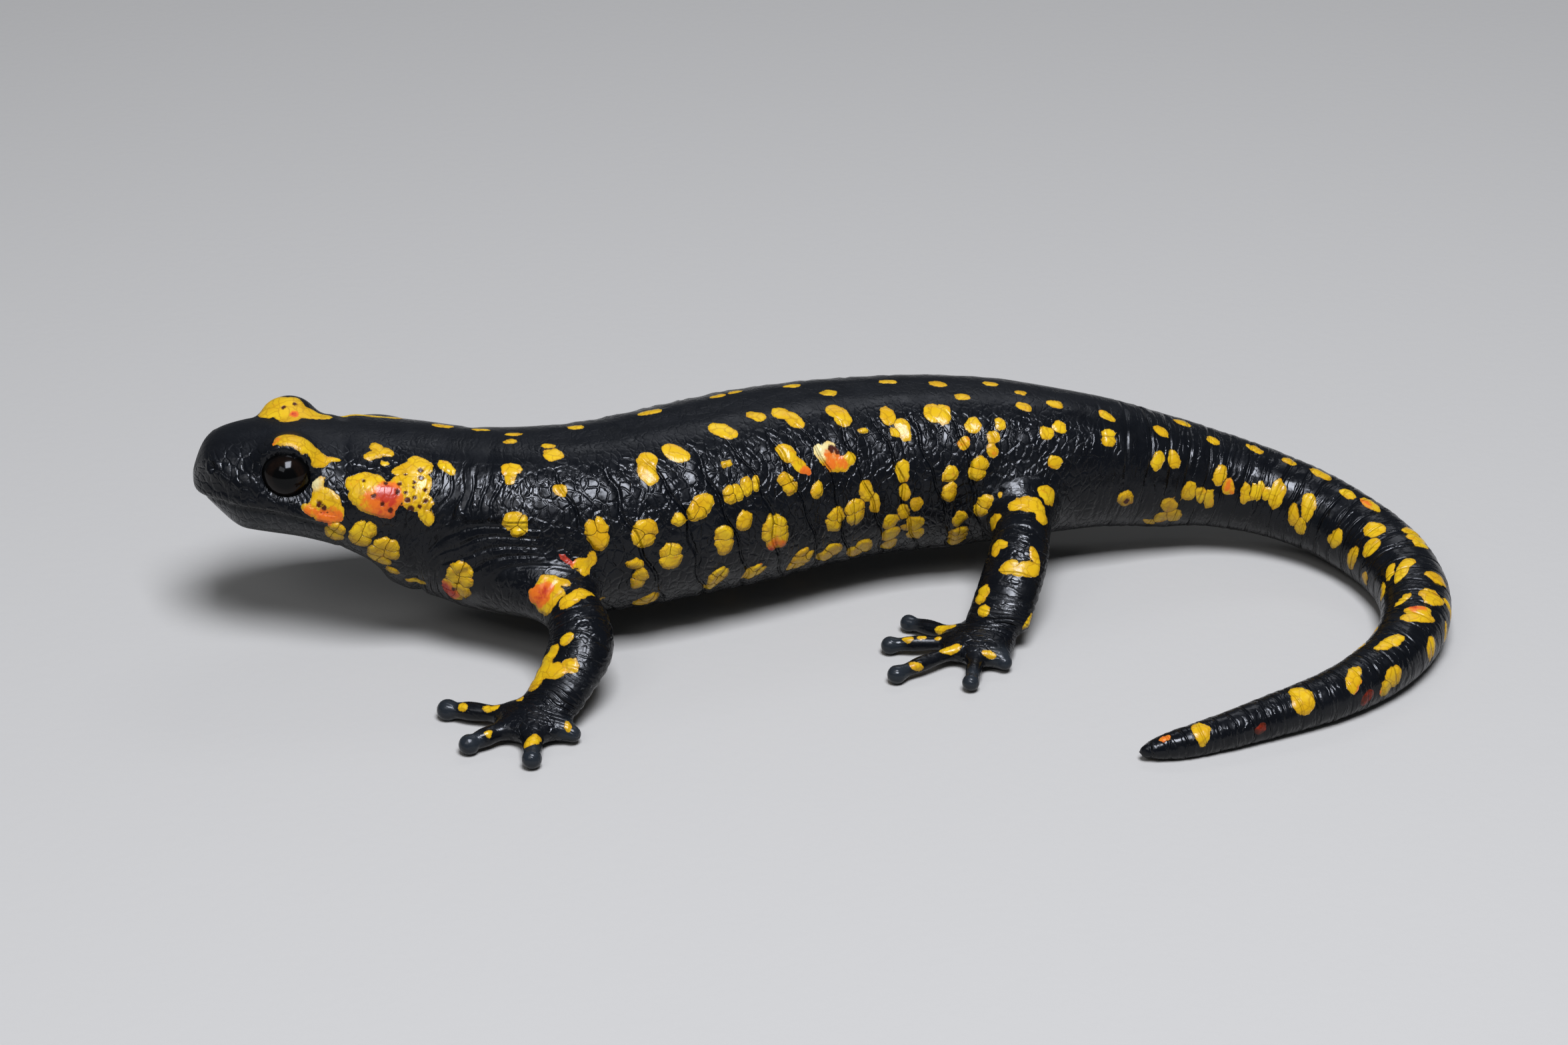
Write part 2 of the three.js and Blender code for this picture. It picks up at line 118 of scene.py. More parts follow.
# Limbs, laid out from the spine at their girdle: (out from the spine, back along it, height).
# The left limbs' points come from numbers that a separate measuring program printed, as most of the
# markings do, and most are nearly as it printed them. report.md says how, and that this breaks a rule.
LIMBS = {
    "left_front": {
        "side": 1, "girdle": 32, "root": (4.5, -1.5, 9.5), "joint": (14.0, 10.6, 7.8),
        "wrist": (21.1, 7.2, 3.0), "palm": (22.9, 5.0, 1.45),
        "tips": [(20.0, -5.0), (27.7, -2.1), (30.9, 5.3), (25.6, 10.0)],
    },
    "right_front": {
        "side": -1, "girdle": 32, "root": (4.5, -1.5, 9.5), "joint": (13.6, 7.0, 7.6),
        "wrist": (19.6, -1.6, 2.9), "palm": (20.6, -4.2, 1.45),
        "tips": [(15.6, -12.2), (21.6, -14.4), (27.4, -11.2), (27.0, -3.6)],
    },
    "left_hind": {
        "side": 1, "girdle": 89, "root": (2.5, 0, 9.3), "joint": (12.6, 0.2, 9.2),
        "wrist": (20.2, -3.4, 3.1), "palm": (22.4, -5.6, 1.45),
        "tips": [(16.1, -13.4), (21.2, -16.1), (27.9, -15.9), (30.7, -7.8), (27.1, -3.0)],
    },
    "right_hind": {
        "side": -1, "girdle": 89, "root": (2.5, 0, 9.3), "joint": (12.4, -2.6, 8.8),
        "wrist": (19.6, 4.4, 2.9), "palm": (22.2, 5.2, 1.5),
        "tips": [(20.2, -4.8), (26.4, -5.4), (31.6, -1.6), (32.4, 5.6), (28.2, 11.4)],
    },
}
ARM_OUTLINE = [(0, 3.6, 3.4), (0.33, 3.0, 2.9), (0.5, 3.2, 3.0), (0.75, 3.4, 2.6), (1, 3.1, 1.95)]
LEG_OUTLINE = [(0, 4.1, 4.0), (0.33, 3.3, 3.2), (0.5, 3.1, 2.9), (0.75, 3.3, 2.6), (1, 3.4, 2.1)]
DIGIT_OUTLINE = [(0, 0.75), (0.35, 0.85), (0.55, 1.0), (0.74, 0.85), (0.9, 1.2), (1, 1.22)]
JOINT_ROUND = 3  # how far from the elbow or knee its bend begins
PALM_AXES = (3.6, 3.6, 1.8)
DIGIT = {"tip": 1.15, "arch": 0.45, "press": 0.3}
TOE_SHARE = 0.84  # toes are slimmer than fingers

# The skin's mesh
SEED = 7
MOST_TRIANGLES = 200000
BLOCK_CELL = 0.5  # small enough that the swollen solids leave one clean outer shell
SWELL = 0.28  # how far the solids are swollen, so that the thin cuts between them close
SWELL_DIGIT = 0.12  # the same for fingers and toes, which stay apart
EVENING = 0.6  # the share of the way to its neighbours' middle that a vertex slides at a time
PROBE = 0.05  # how far off the slope of the distance is taken
LEAST_SLOPE = 0.35
MOST_STEP = 0.5
STRAY_GAP = 1  # a vertex this far from its neighbours' middle has slipped through a fold
LIMB_FILLET = 3.4  # width over which a limb runs into the trunk
WRIST_FILLET = 1.6
WEB_FILLET = 1.5  # the small webs between the digits
LID_OPENING = (66, 54)  # half angles of the opening between the lids, along and across, degrees
LID_THICKNESS = 0.45
EYE_DIP = 0.35  # how far the skin passes under the eyeball's surface in the opening

# Detail of the surface
SNOUT_LIFT = 0.7
MOUTH_LINE = [(0, -1.9), (1, -1.5), (3, -0.95), (7, -0.8), (10.5, -0.95), (13.5, -0.9), (16, -1.1)]
NOSTRILS = [(2.4, 36), (2.4, 144)]  # (station, angle round the body); the first one measured too
NOSTRIL_RADIUS = 0.4
RIM_RADIUS = 0.8
RIBS = {"from": 36.5, "to": 86, "spacing": 4.4, "depth": 0.32, "width": 0.38}
RIB_LEAN = 3.6  # how much farther back a groove's lower end is
TAIL_RINGS = {"from": 98, "spacing": 2.6, "last_spacing": 1.7, "depth": 0.13}
NECK_FOLDS = [  # (station, depth)
    (27.4, 0.3), (28.8, 0.2), (30.1, 0.24), (31.6, 0.18), (33.1, 0.2), (34.7, 0.14),
]
GULAR_FOLD = {"station": 24.8, "depth": 0.4}
VENT = 93  # station of the vent
LIMB_RINGS = {"spacing": 1.25, "depth": 0.13}
GLAND_SIZE = 1.35  # the usual width of a gland in a raised spot
SPOT_WARP = 0.2  # how far the outlines of spots and glands wander
GLAND_RAISE = 0.2
FLAT_RAISE = 0.3  # flat spots rise by this share of a gland's height
HEAD_RAISE = 0.45
MIRROR_SHIFT = 0.4  # how much farther back the hidden side's markings of the head sit
BELLY_SPOTS = 16
LIMB_SPOTS = 8  # on each limb of the hidden side

# The studio: lens and sensor in mm, distance in mm, angles in degrees
CAMERA = {"lens": 90, "sensor": 36, "distance": 435, "elevation": 28, "aim": (-4.43, 13.49, 0)}
LIGHTS = [  # name, size (width, depth), distance, elevation, azimuth, power in W, colour
    ("overhead softbox", (250, 240), 620, 66, 12, 7.2, "#EDF2FF"),
    ("front softbox", (320, 200), 700, 45, -30, 0.7, "#F6F8FF"),
    ("rear softbox", (360, 160), 700, 48, 165, 0.45, "#F2F6FF"),
]
FLOOR_SIZE = 6  # metres


# The markings. A place on head, trunk or tail is (station, angle round the body), the angle in
# degrees from the left side (0) over the back (90) to the right side (180). Sizes are in mm.
# The rows weren't chosen freely by hand: a separate measuring program printed most of them, and they
# were then rounded and corrected by eye. report.md says how, and that this breaks a rule.

# Flat spots: place, length, width and the tilt of the length, negative where it falls to the rear.
# Where two of them touch, a fine crease parts them.
FLAT_SPOTS = [
    # neck and shoulders
    (24.4, 110, 2.3, 1.3, 0), (28.9, 106, 2.1, 0.8, 0),
    (32.9, 97, 1.8, 0.9, 5), (32.7, 87, 1.6, 0.9, 0), (40.5, 104, 1.9, 1.2, 0), (38.1, 4, 2.3, 0.6, -44),
    # back
    (49.4, 106, 2.8, 1.5, 0), (49, 59, 3.4, 2.0, -48), (54.8, 67, 3.3, 2.1, -42),
    (57.8, 108, 2.0, 1.0, 0), (60, 110, 1.8, 1.0, 0), (59.3, 74, 2.2, 1.6, -55), (65.9, 105, 2.0, 1.2, 0),
    (69, 89, 2.1, 1.5, -8), (76, 99, 2.0, 1.1, -8), (81, 93, 2.0, 1.4, -15), (83, 75, 1.8, 1.2, -15),
    (86.5, 96, 1.7, 1.1, -12), (37.8, 45, 1.5, 1.4, 0),
    (74.5, 59, 2.5, 1.6, -78), (75.9, 48, 2.9, 1.5, -78), (74.8, 46.5, 1.4, 1.1, -60),
    # hips
    (89.5, 85, 1.4, 0.9, -12), (89.6, 68, 1.8, 1.2, -14), (92.7, 75, 1.8, 1.2, -18),
    (91.7, 46, 1.8, 1.5, -30), (92.9, 53, 1.7, 1.5, 20), (92.3, 25, 1.7, 1.5, 0),
    (83.9, 50, 2.0, 1.7, -89), (82.6, 37, 1.5, 1.4, 87), (86.8, 51, 1.5, 1.4, 84), (86, 42, 1.7, 1.3, 76),
    (85.8, 33, 1.7, 1.3, 87),
    (74.9, 21, 2.5, 1.5, 83), (74.9, 8, 2.1, 1.3, -76), (75.1, 355, 2.0, 1.2, -69),
    (76.4, 359, 1.6, 1.5, -84), (76.5, 345, 2.1, 2.2, 80), (76.7, 335, 2.0, 2.0, 80),
    (75.3, 343, 0.9, 0.8, 0), (73.1, 350, 1.8, 1.8, -89),
    (73.3, 339, 2.1, 2.1, -83), (73.6, 327, 2.3, 1.9, -83), (69.8, 13, 2.5, 1.6, -87), (71, 4, 2.2, 1.3, 89),
    # tail
    (98.2, 70, 2.0, 1.2, -28), (98.2, 50, 1.9, 1.1, 7), (98.1, 44, 1.9, 1.2, 12), (103.9, 63, 1.9, 1.3, -25),
    (107, 90, 2.2, 1.3, -10), (110.4, 74, 1.7, 1.3, -4), (115.3, 90, 2.2, 1.2, -22),
    (119.4, 93, 1.9, 1.5, -16), (123, 97, 2.7, 1.6, -4), (127, 87, 2.1, 1.5, -5), (130, 99, 2.8, 1.7, -8),
    (103.7, 31, 2.4, 1.5, 77), (105.4, 36, 2.1, 1.4, -69), (108.4, 3, 2.3, 1.6, 84),
    (109.9, 359, 2.2, 1.1, -82), (111.2, 357, 2.5, 1.2, -81), (111.8, 30, 2.3, 1.4, 86),
    (113.2, 21, 2.0, 1.4, -81), (115.7, 17, 2.6, 0.9, -82), (116.5, 23, 2.1, 0.8, -81),
    (117.2, 27, 2.3, 0.8, -83), (118.2, 29, 1.7, 1.0, -84), (119.6, 33, 3.3, 1.6, -83),
    (122.4, 14, 2.4, 1.2, -79), (124.1, 34, 3.1, 1.6, -78), (124.2, 4, 2.2, 1.3, -79),
    (129.5, 15, 2.3, 1.7, 78), (133.2, 7, 2.9, 1.4, 82), (137.1, 355, 1.7, 1.3, 80),
    (133.7, 66, 2.4, 2.3, 80), (135.3, 44, 2.4, 1.8, -85), (142.2, 65, 4.2, 1.4, -28),
    (141.3, 46, 2.6, 1.0, -28), (143.4, 22, 2.5, 0.9, -15), (148.2, 67, 2.8, 0.8, -30),
    (143.4, 124, 2.7, 1.7, 80), (146.1, 160, 3.0, 1.2, 80), (148.6, 174, 2.2, 1.2, 70),
    (152.6, 165, 2.6, 1.9, 70), (158.7, 161, 2.7, 2.0, 4), (160.1, 173, 2.2, 1.6, 51),
    (162.3, 177, 2.0, 1.2, 40), (174.7, 166, 1.4, 0.9, 0), (180.6, 120, 2.6, 1.7, 80),
    (184.4, 104, 1.1, 0.9, 0),
]

# Flat spots of odd outline, each of a few ovals that run together.
FLAT_PATCHES = [
    [(33, 59, 2.2, 1.5, 0), (33.2, 53, 1.7, 1.2, 80)],
    [(36.9, 80, 1.6, 0.9, -8)],
    [(37.3, 71, 2.2, 1.9, -5)],
    [(46, 56.5, 2.6, 2.1, 78), (45.8, 52, 2.4, 1.9, 80), (45.9, 47.5, 2.6, 1.7, 88)],
    [(79.4, 60, 2.5, 1.9, 80), (80.5, 58, 2.7, 1.8, 80)],
    [(15.2, 128, 3.0, 1.2, -4), (17.4, 128, 3.0, 1.3, -4), (19.3, 127, 2.2, 1.4, 0)],
    [(60.5, 44, 2.5, 1.8, -58), (61.7, 36, 2.3, 1.6, -57), (62.4, 32, 1.3, 1.0, -60)],
    [(135.2, 121, 2.9, 1.6, -82), (136.3, 120, 2.8, 1.7, -85), (137.5, 120, 2.2, 1.5, 80)],
    [(146.6, 106, 2.2, 1.5, -40), (147.3, 120, 3.0, 1.6, -42), (147, 113, 2.0, 1.5, 0)],
    [(156.8, 98, 3.8, 1.5, -14), (155.8, 97, 2.7, 1.4, -23)],
    [(149.9, 102, 3.0, 1.5, -60), (150.8, 107, 4.0, 1.5, -56)],
    [(106.2, 341, 2.2, 1.8, -43)],
    [(105.9, 322, 2.0, 1.7, -69)],
    [(107.3, 327, 2.2, 1.8, -69)],
    [(104.8, 314, 2.0, 0.9, -30)],
    [(62.3, 72, 2.3, 2.0, -50), (63.3, 65, 2.8, 1.7, -75)],
    [(68.5, 66, 2.3, 2.0, -60), (69, 61, 2.4, 1.9, -80)],
    [(39.3, 2, 2.5, 0.9, 6), (39.4, 359, 1.7, 1.3, 68), (40.1, 3, 1.7, 1.3, -89)],
    [(162.6, 108, 1.9, 1.4, -8), (163.4, 128, 2.7, 1.6, 50)],
    [(169.5, 99, 1.9, 1.6, -25), (169.3, 128, 3.0, 2.5, 59)],
]

# Raised spots, each a cluster of rounded glands with creases between them: the same five numbers.
RAISED_SPOTS = [
    # neck and chest
    (34, 24, 2.6, 2.3, -30), (40.6, 18, 3.3, 2.3, -75), (40.7, 335, 1.6, 0.9, -30),
    (49.7, 25, 3.2, 2.2, 35), (47.5, 20, 1.3, 1.3, 0),
    # flank, upper rows
    (53.4, 28, 2.2, 1.9, 0), (55.1, 30, 1.9, 1.0, 85), (56, 31, 1.5, 0.9, 80),
    (59.6, 27, 2.4, 1.7, -65), (63.5, 20, 1.8, 1.3, 80), (53.6, 45, 1.1, 0.8, 0),
    (70.9, 50, 0.9, 0.6, 0),
    # flank, lower rows
    (44.5, 16, 3.0, 2.5, 60), (54.2, 12, 1.9, 1.6, 80), (51.8, 4, 3.3, 2.1, -86), (57.7, 2, 4.2, 2.9, -80),
    (46.7, 0, 3.0, 2.4, 90), (43.6, 358, 1.5, 1.1, 0), (44, 348, 2.8, 1.7, 80), (51.3, 337, 4.0, 2.0, 66),
    (55.7, 336, 2.8, 2.2, 35), (45, 327, 3.2, 2.0, 55), (61.3, 337, 3.9, 2.4, 62),
    (65.2, 335, 2.9, 2.4, 35), (69.4, 331, 2.8, 2.9, 25), (65.5, 1, 2.6, 2.0, 70),
    (68, 2, 3.0, 2.1, -88),
    # hips
    (84.2, 20, 2.6, 2.0, 70), (80.7, 17, 1.9, 1.5, 60), (80.9, 5, 1.9, 1.5, 70), (85, 355, 2.6, 1.6, 60),
    (82.3, 345, 2.0, 1.4, 75), (82.4, 326, 3.5, 2.3, 85), (100.6, 350, 1.9, 1.6, -37),
    # jaw
    (15.1, 352, 2.6, 2.1, 80), (18.2, 358, 3.2, 2.5, 80), (20.9, 347, 4.0, 3.0, 75),
    (22.8, 333, 1.4, 1.0, 0), (25.6, 325, 2.0, 1.0, 0), (29.5, 339, 5.8, 3.0, 82),
]

# Smooth patches of the head, each of a few ovals that run together: the same five numbers.
HEAD_PATCHES = {
    "left lid": [
        (9.3, 54.5, 3.2, 2.3, 11), (10.4, 52.5, 2.9, 2.7, -6), (11.8, 45, 3.0, 2.1, -33),
        (13.3, 43.5, 1.9, 0.7, 21),
    ],
    "right lid": [(7.9, 120, 3.8, 3.8, -10), (9.4, 114.5, 3.6, 4.4, -12), (11.6, 114, 3.8, 2.2, 8)],
    "left parotoid": [
        (16.9, 31, 4.3, 2.6, 2), (18.2, 20.5, 5.2, 2.6, -16), (19.5, 26, 3.9, 3.1, 9),
        (22.1, 49, 4.0, 2.0, 19), (23, 54, 2.8, 1.8, -20), (22.6, 37, 4.4, 3.4, 22),
        (23.9, 28, 3.2, 2.1, 10), (25.3, 21, 2.0, 1.4, -44),
    ],
    "left cheek": [
        (12.3, 23, 1.6, 1.0, 43), (12.6, 18, 1.7, 1.3, 60), (12.8, 11, 2.2, 1.8, 0),
        (13.3, 15, 3.0, 2.0, -42), (14.5, 10, 2.6, 1.4, -52),
        (11.9, 4, 1.9, 1.2, -19), (13.8, 2, 2.8, 1.0, 9),
    ],
    "lobe behind the left parotoid": [(26.4, 57, 2.4, 1.4, -32)],
    "patch behind the left lid": [
        (17.5, 64, 1.5, 1.3, 2), (17.2, 54, 1.6, 1.3, 41), (18.8, 59.5, 1.6, 1.5, 5), (18, 58, 1.6, 1.5, 0),
    ],
    "small lobe behind the left lid": [(19, 49, 1.0, 0.8, 13)],
}

# Warmer patches in the yellow: place, radius and how red (0.5 is orange, 1 is blood red).
WARM_PATCHES = [
    (24.5, 117, 0.8, 0.7), (19.9, 26, 1.5, 0.95), (19.9, 19, 1.7, 0.7), (18.4, 21, 1.5, 0.45),
    (12.1, 2.5, 0.9, 0.45), (13.6, 1.5, 1.0, 0.6), (14.6, 5.5, 0.75, 0.55),
    (14.2, 8, 0.6, 0.5), (8.4, 52, 0.6, 0.35), (9.9, 109, 0.5, 0.7), (28.5, 328.5, 1.4, 1.05),
    (37.9, 4.5, 1.1, 1.35), (62.6, 31.5, 0.9, 0.6), (66.4, 35, 1.4, 0.45), (67.2, 32, 0.8, 0.4),
    (57.6, 352, 1.3, 0.4), (57, 348, 1.2, 0.85), (82.6, 37, 1.2, 0.16),
    (113.2, 19, 1.1, 0.3), (129.4, 87, 1.1, 0.35),
    (149.3, 92, 1.1, 0.65), (162.3, 177, 1.6, 1.5), (174.7, 166, 1.4, 1.5), (184.4, 104, 1.2, 0.35),
    (86, 34, 0.9, 0.15),
]

# Cream where the yellow is palest, by the scar, and a painted highlight on the top of the left cheek's patch:
# place, radius and how pale.
CREAM_AND_HIGHLIGHT_PATCHES = [(12.1, 24.5, 0.75, 0.85), (64.9, 43, 1.2, 0.8), (66.2, 41, 1.2, 0.6)]

# Large dark pores of the parotoid and a few brown flecks: place and radius.
PORES = [
    (19.5, 34, 0.24), (20.9, 36, 0.24), (21.4, 43, 0.26), (23.1, 50, 0.25), (23.4, 45, 0.26),
    (22.8, 40, 0.24), (20.8, 30, 0.28), (23.3, 31, 0.25), (24.8, 30, 0.27), (22.4, 27, 0.24),
    (18.2, 24, 0.22), (19.6, 21, 0.25), (24.4, 37, 0.24), (25.1, 48, 0.24), (16.8, 31, 0.18),
    (20.5, 19, 0.26), (22, 32, 0.22), (26, 38, 0.22), (24.2, 25, 0.24), (22.9, 36, 0.2),
    (21.6, 15, 0.3), (23.1, 22, 0.34),
    (12.7, 9.5, 0.35), (13.2, 9, 0.28), (100.6, 350, 0.12), (67, 41, 0.3), (66.4, 39.5, 0.2),
    (67.5, 38.5, 0.3), (9, 116, 0.3), (9.9, 118, 0.25), (100.7, 348, 0.35), (66.5, 42, 0.4), (67, 39, 0.25),
    (29.2, 334, 0.3), (57.2, 350, 0.3),
]

# The ring of glands round the scar on the flank: place and radius.
SCAR = [
    (64.9, 42, 0.8), (65.1, 36, 0.8), (66.1, 32, 0.9), (67.3, 31, 0.9), (68.3, 34, 0.8), (66.3, 38, 0.9),
    (66.2, 42, 0.9),
]

# Patches on the limbs, each of a few ovals that run together: out from the spine at the girdle,
# back, height, length, width and tilt.
LIMB_PATCHES = {
    "left_front": [
        [(12.1, 6, 10.9, 3.1, 2.0, 13), (13, 5, 9.6, 3.2, 1.8, -53), (13.7, 6.1, 9.7, 2.6, 1.6, 47),
         (12.9, 6.7, 10.4, 2.6, 1.7, -10), (11.9, 7.6, 10.9, 1.8, 0.9, -12)],
        [(14.1, 8.3, 10, 2.0, 1.7, 52), (13.4, 9, 10, 2.0, 1.5, 30), (12.6, 9.7, 9.9, 2.2, 1.1, 16)],
        [(17.9, 8.3, 7.9, 1.7, 1.3, 38)],
        [(18.7, 6.3, 6.2, 3.4, 1.7, 31), (20.3, 5.2, 4.4, 2.8, 2.0, 59), (20.4, 6.7, 5.8, 3.2, 1.9, -10),
         (19.6, 6.1, 5.5, 2.2, 1.8, 20), (20.4, 8.8, 6.3, 1.8, 1.6, -7)],
        [(21.4, 3.5, 3, 1.3, 0.8, 71)], [(21.4, -2.3, 2, 1.3, 0.9, -9)],
        [(22.1, 0.2, 2.1, 1.3, 0.8, 8), (22.1, 1.2, 2.1, 1.2, 0.7, 0)], [(26.5, 0.7, 2.1, 0.9, 0.8, 14)],
        [(28, 5.4, 2.4, 2.1, 1.4, 52)], [(25.4, 8.5, 2.2, 1.2, 0.6, -85)],
    ],
    "left_hind": [
        [(11.6, -0.3, 11.9, 2.9, 1.7, 4), (11.6, 0.6, 11.7, 2.8, 2.2, -5), (11.6, 1.2, 11.5, 2.6, 2.3, -20),
         (12.5, 2, 10.9, 2.4, 1.7, -82)],
        [(9.6, 2.9, 12, 2.5, 2.2, -15)], [(11.4, -3, 9.8, 2.5, 1.6, 4)],
        [(15.5, -3.4, 8.9, 2.1, 1.4, 68), (15.6, -2.9, 9.3, 1.4, 1.3, -25), (15.3, -3.1, 9.2, 1.5, 1.3, 0)],
        [(9.9, -2.2, 12.3, 0.6, 0.6, 0)],
        [(18.2, -2.4, 8, 2.2, 1.4, 23), (18.6, -0.6, 7.9, 3.3, 1.8, 1), (17.4, 0.5, 8.6, 2.6, 1.1, -78)],
        [(19.1, -5.1, 5.5, 2.3, 1.7, 48)], [(20.8, -5.3, 4.4, 1.7, 1.4, -3)],
        [(21.9, -0.5, 3.5, 2.2, 0.8, 55)], [(20.3, -9.1, 2.3, 2.6, 1.1, -20)],
        [(22, -13.3, 2.2, 1.2, 0.8, -7)], [(21.8, -11.9, 2.3, 1.1, 0.6, 0)],
        [(22.3, -10.1, 2.2, 0.9, 0.6, -11)], [(24.8, -9, 2.2, 2.6, 1.0, 10)], [(27, -12.9, 2, 1.6, 1.0, -15)],
        [(26.1, -5.3, 2.2, 1.5, 0.9, -13)],
    ],
}
# Warmer patches on the limbs: the same place, radius and how red.
LIMB_WARM_PATCHES = {"left_front": [(12.9, 5.1, 10.2, 1.2, 0.75), (12.2, 6, 10.8, 0.8, 0.7)]}


def smooth_rows(rows):
    """A function through rows of (position, value, ...), by a curve that never overshoots them."""
    table = np.array(rows, float)
    x = table[:, 0]
    y = table[:, 1:]
    slopes = np.diff(y, axis=0) / np.diff(x)[:, None]
    before = slopes[:-1]
    after = slopes[1:]
    total = before + after
    mean = 2 * before * after / np.where(total == 0, 1, total)
    tangents = np.vstack([slopes[:1], np.where(before * after > 0, mean, 0), slopes[-1:]])

    def at(position):
        position = np.asarray(position, float)
        i = np.clip(np.searchsorted(x, position, side="right") - 1, 0, len(x) - 2)
        span = (x[i + 1] - x[i])[..., None]
        t = np.clip((position - x[i])[..., None] / span, 0, 1)
        rise = y[i + 1] - y[i]
        a = tangents[i] * span - rise
        b = rise - tangents[i + 1] * span
        return y[i] + rise * t + t * (1 - t) * (a * (1 - t) + b * t)

    return at


def unit(vectors):
    return vectors / np.maximum(np.linalg.norm(vectors, axis=-1, keepdims=True), 1e-9)


def ramp(value, low, high):
    """0 below low, 1 above high and a soft rise between. It falls where low is above high."""
    t = np.clip((value - low) / (high - low), 0, 1)
    return t * t * (3 - 2 * t)


def bump(value, centre, width):
    """1 at the centre, fading to nothing over the width on both sides."""
    return np.exp(-(((value - centre) / width) ** 2))


def blend_min(a, b, width):
    """The nearer of two distances, with a fillet of that width where they meet."""
    overlap = np.maximum(width - np.abs(a - b), 0) / width
    return np.minimum(a, b) - overlap * overlap * width / 4


def blend_max(a, b, width):
    return -blend_min(-a, -b, width)


outline_at = smooth_rows(BODY_OUTLINE)
mouth_at = smooth_rows(MOUTH_LINE)
height_at = smooth_rows(SPINE_HEIGHTS)
digit_radius_at = smooth_rows(DIGIT_OUTLINE)
ring_stations = np.linspace(TAIL_RINGS["from"] - 4, BODY_LENGTH, 60)
ring_steps = np.linspace(TAIL_RINGS["spacing"], TAIL_RINGS["last_spacing"], 60)
ring_counts = np.cumsum(np.gradient(ring_stations) / ring_steps)
ring_count_at = smooth_rows(np.stack([ring_stations, ring_counts], axis=1))


class Spine:
    """The centre line of the body, walked from the snout along its heading."""

    def __init__(self):
        self.stations = np.arange(0, BODY_LENGTH + SPINE_STEP / 2, SPINE_STEP)
        heading = math.radians(SNOUT_HEADING)
        middles = self.stations[1:] - SPINE_STEP / 2
        for start, end, turn in BENDS:
            t = np.clip((middles - start) / (end - start), 0, 1)
            heading = heading + math.radians(turn) * (t + t * t * (3 - 2 * t)) / 2
        drop = outline_at(self.stations)[:, 2] - TAIL_PRESS
        height = np.maximum(height_at(self.stations)[:, 0], drop)
        level = np.sqrt(SPINE_STEP**2 - np.diff(height) ** 2)
        x = np.concatenate([[0], np.cumsum(level * np.cos(heading))])
        y = np.concatenate([[0], np.cumsum(level * np.sin(heading))])
        self.centres = np.stack([x, y, height], axis=1)
        last = len(self.stations) - 1
        i = np.arange(last + 1)
        self.backs = unit(self.centres[np.minimum(i + 2, last)] - self.centres[np.maximum(i - 2, 0)])
        self.lefts = unit(np.cross(self.backs, (0, 0, 1)))
        self.ups = np.cross(self.lefts, self.backs)
        # The whole spine is moved so that its left eye is where the frame has it.
        low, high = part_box("eye_left")
        eye = (np.array(low) + np.array(high)) / 2 / MM
        self.centres[:, :2] += (eye - self.head_point(EYE["back"], EYE["out"], EYE["up"], 1))[:2]

    def at(self, station):
        """Centre, and the unit vectors back to the tail, out to the left and up."""
        place = np.clip(np.asarray(station, float) / SPINE_STEP, 0, len(self.stations) - 1.001)
        i = place.astype(int)
        share = (place - i)[..., None]
        tables = (self.centres, self.backs, self.lefts, self.ups)
        return [table[i] * (1 - share) + table[i + 1] * share for table in tables]

    def head_point(self, back, out, up, side):
        """A point in the head's own frame. side is 1 on the left and -1 on the right."""
        _, _, left, over = self.at(HEAD_MIDDLE)
        return self.at(back)[0] + left * side * out + over * up

    def nearest(self, points):
        """The station of the spine that each point lies beside."""
        coarse = self.centres[::8]
        found = np.empty(len(points))
        for start in range(0, len(points), 20000):
            chunk = points[start : start + 20000]
            gaps = ((chunk[:, None, :] - coarse[None]) ** 2).sum(axis=2)
            found[start : start + 20000] = self.stations[::8][gaps.argmin(axis=1)]
        return self.refine(points, found)

    def refine(self, points, stations, rounds=5):
        for _ in range(rounds):
            centre, back, _, _ = self.at(stations)
            ahead = ((points - centre) * back).sum(axis=1)
            stations = np.clip(stations + np.clip(ahead, -1.5, 1.5), 0, BODY_LENGTH)
        return stations


spine = Spine()


def curve_points(points, count):
    """Points and directions along a smooth curve through the given ones, evenly by parameter."""
    points = np.array(points, float)
    padded = np.vstack([2 * points[0] - points[1], points, 2 * points[-1] - points[-2]])
    steps = np.sqrt(np.linalg.norm(np.diff(padded, axis=0), axis=1))
    places = np.linspace(0, len(points) - 1, count)
    i = np.minimum(places.astype(int), len(points) - 2)
    t = (places - i)[:, None]
    p0, p1, p2, p3 = (padded[i + k] for k in range(4))
    d0, d1, d2 = (steps[i + k][:, None] for k in range(3))
    start = ((p1 - p0) / d0 - (p2 - p0) / (d0 + d1) + (p2 - p1) / d1) * d1
    end = ((p2 - p1) / d1 - (p3 - p1) / (d1 + d2) + (p3 - p2) / d2) * d1
    square = 3 * (p2 - p1) - 2 * start - end
    cube = 2 * (p1 - p2) + start + end
    place = p1 + t * (start + t * (square + t * cube))
    return place, unit(start + t * (2 * square + 3 * t * cube))


def ellipsoid_distance(points, centre, axes, radii):
    local = (points - centre) @ np.array(axes).T
    share = np.maximum(np.linalg.norm(local / np.array(radii), axis=1), 1e-6)
    return np.linalg.norm(local, axis=1) * (1 - 1 / share)


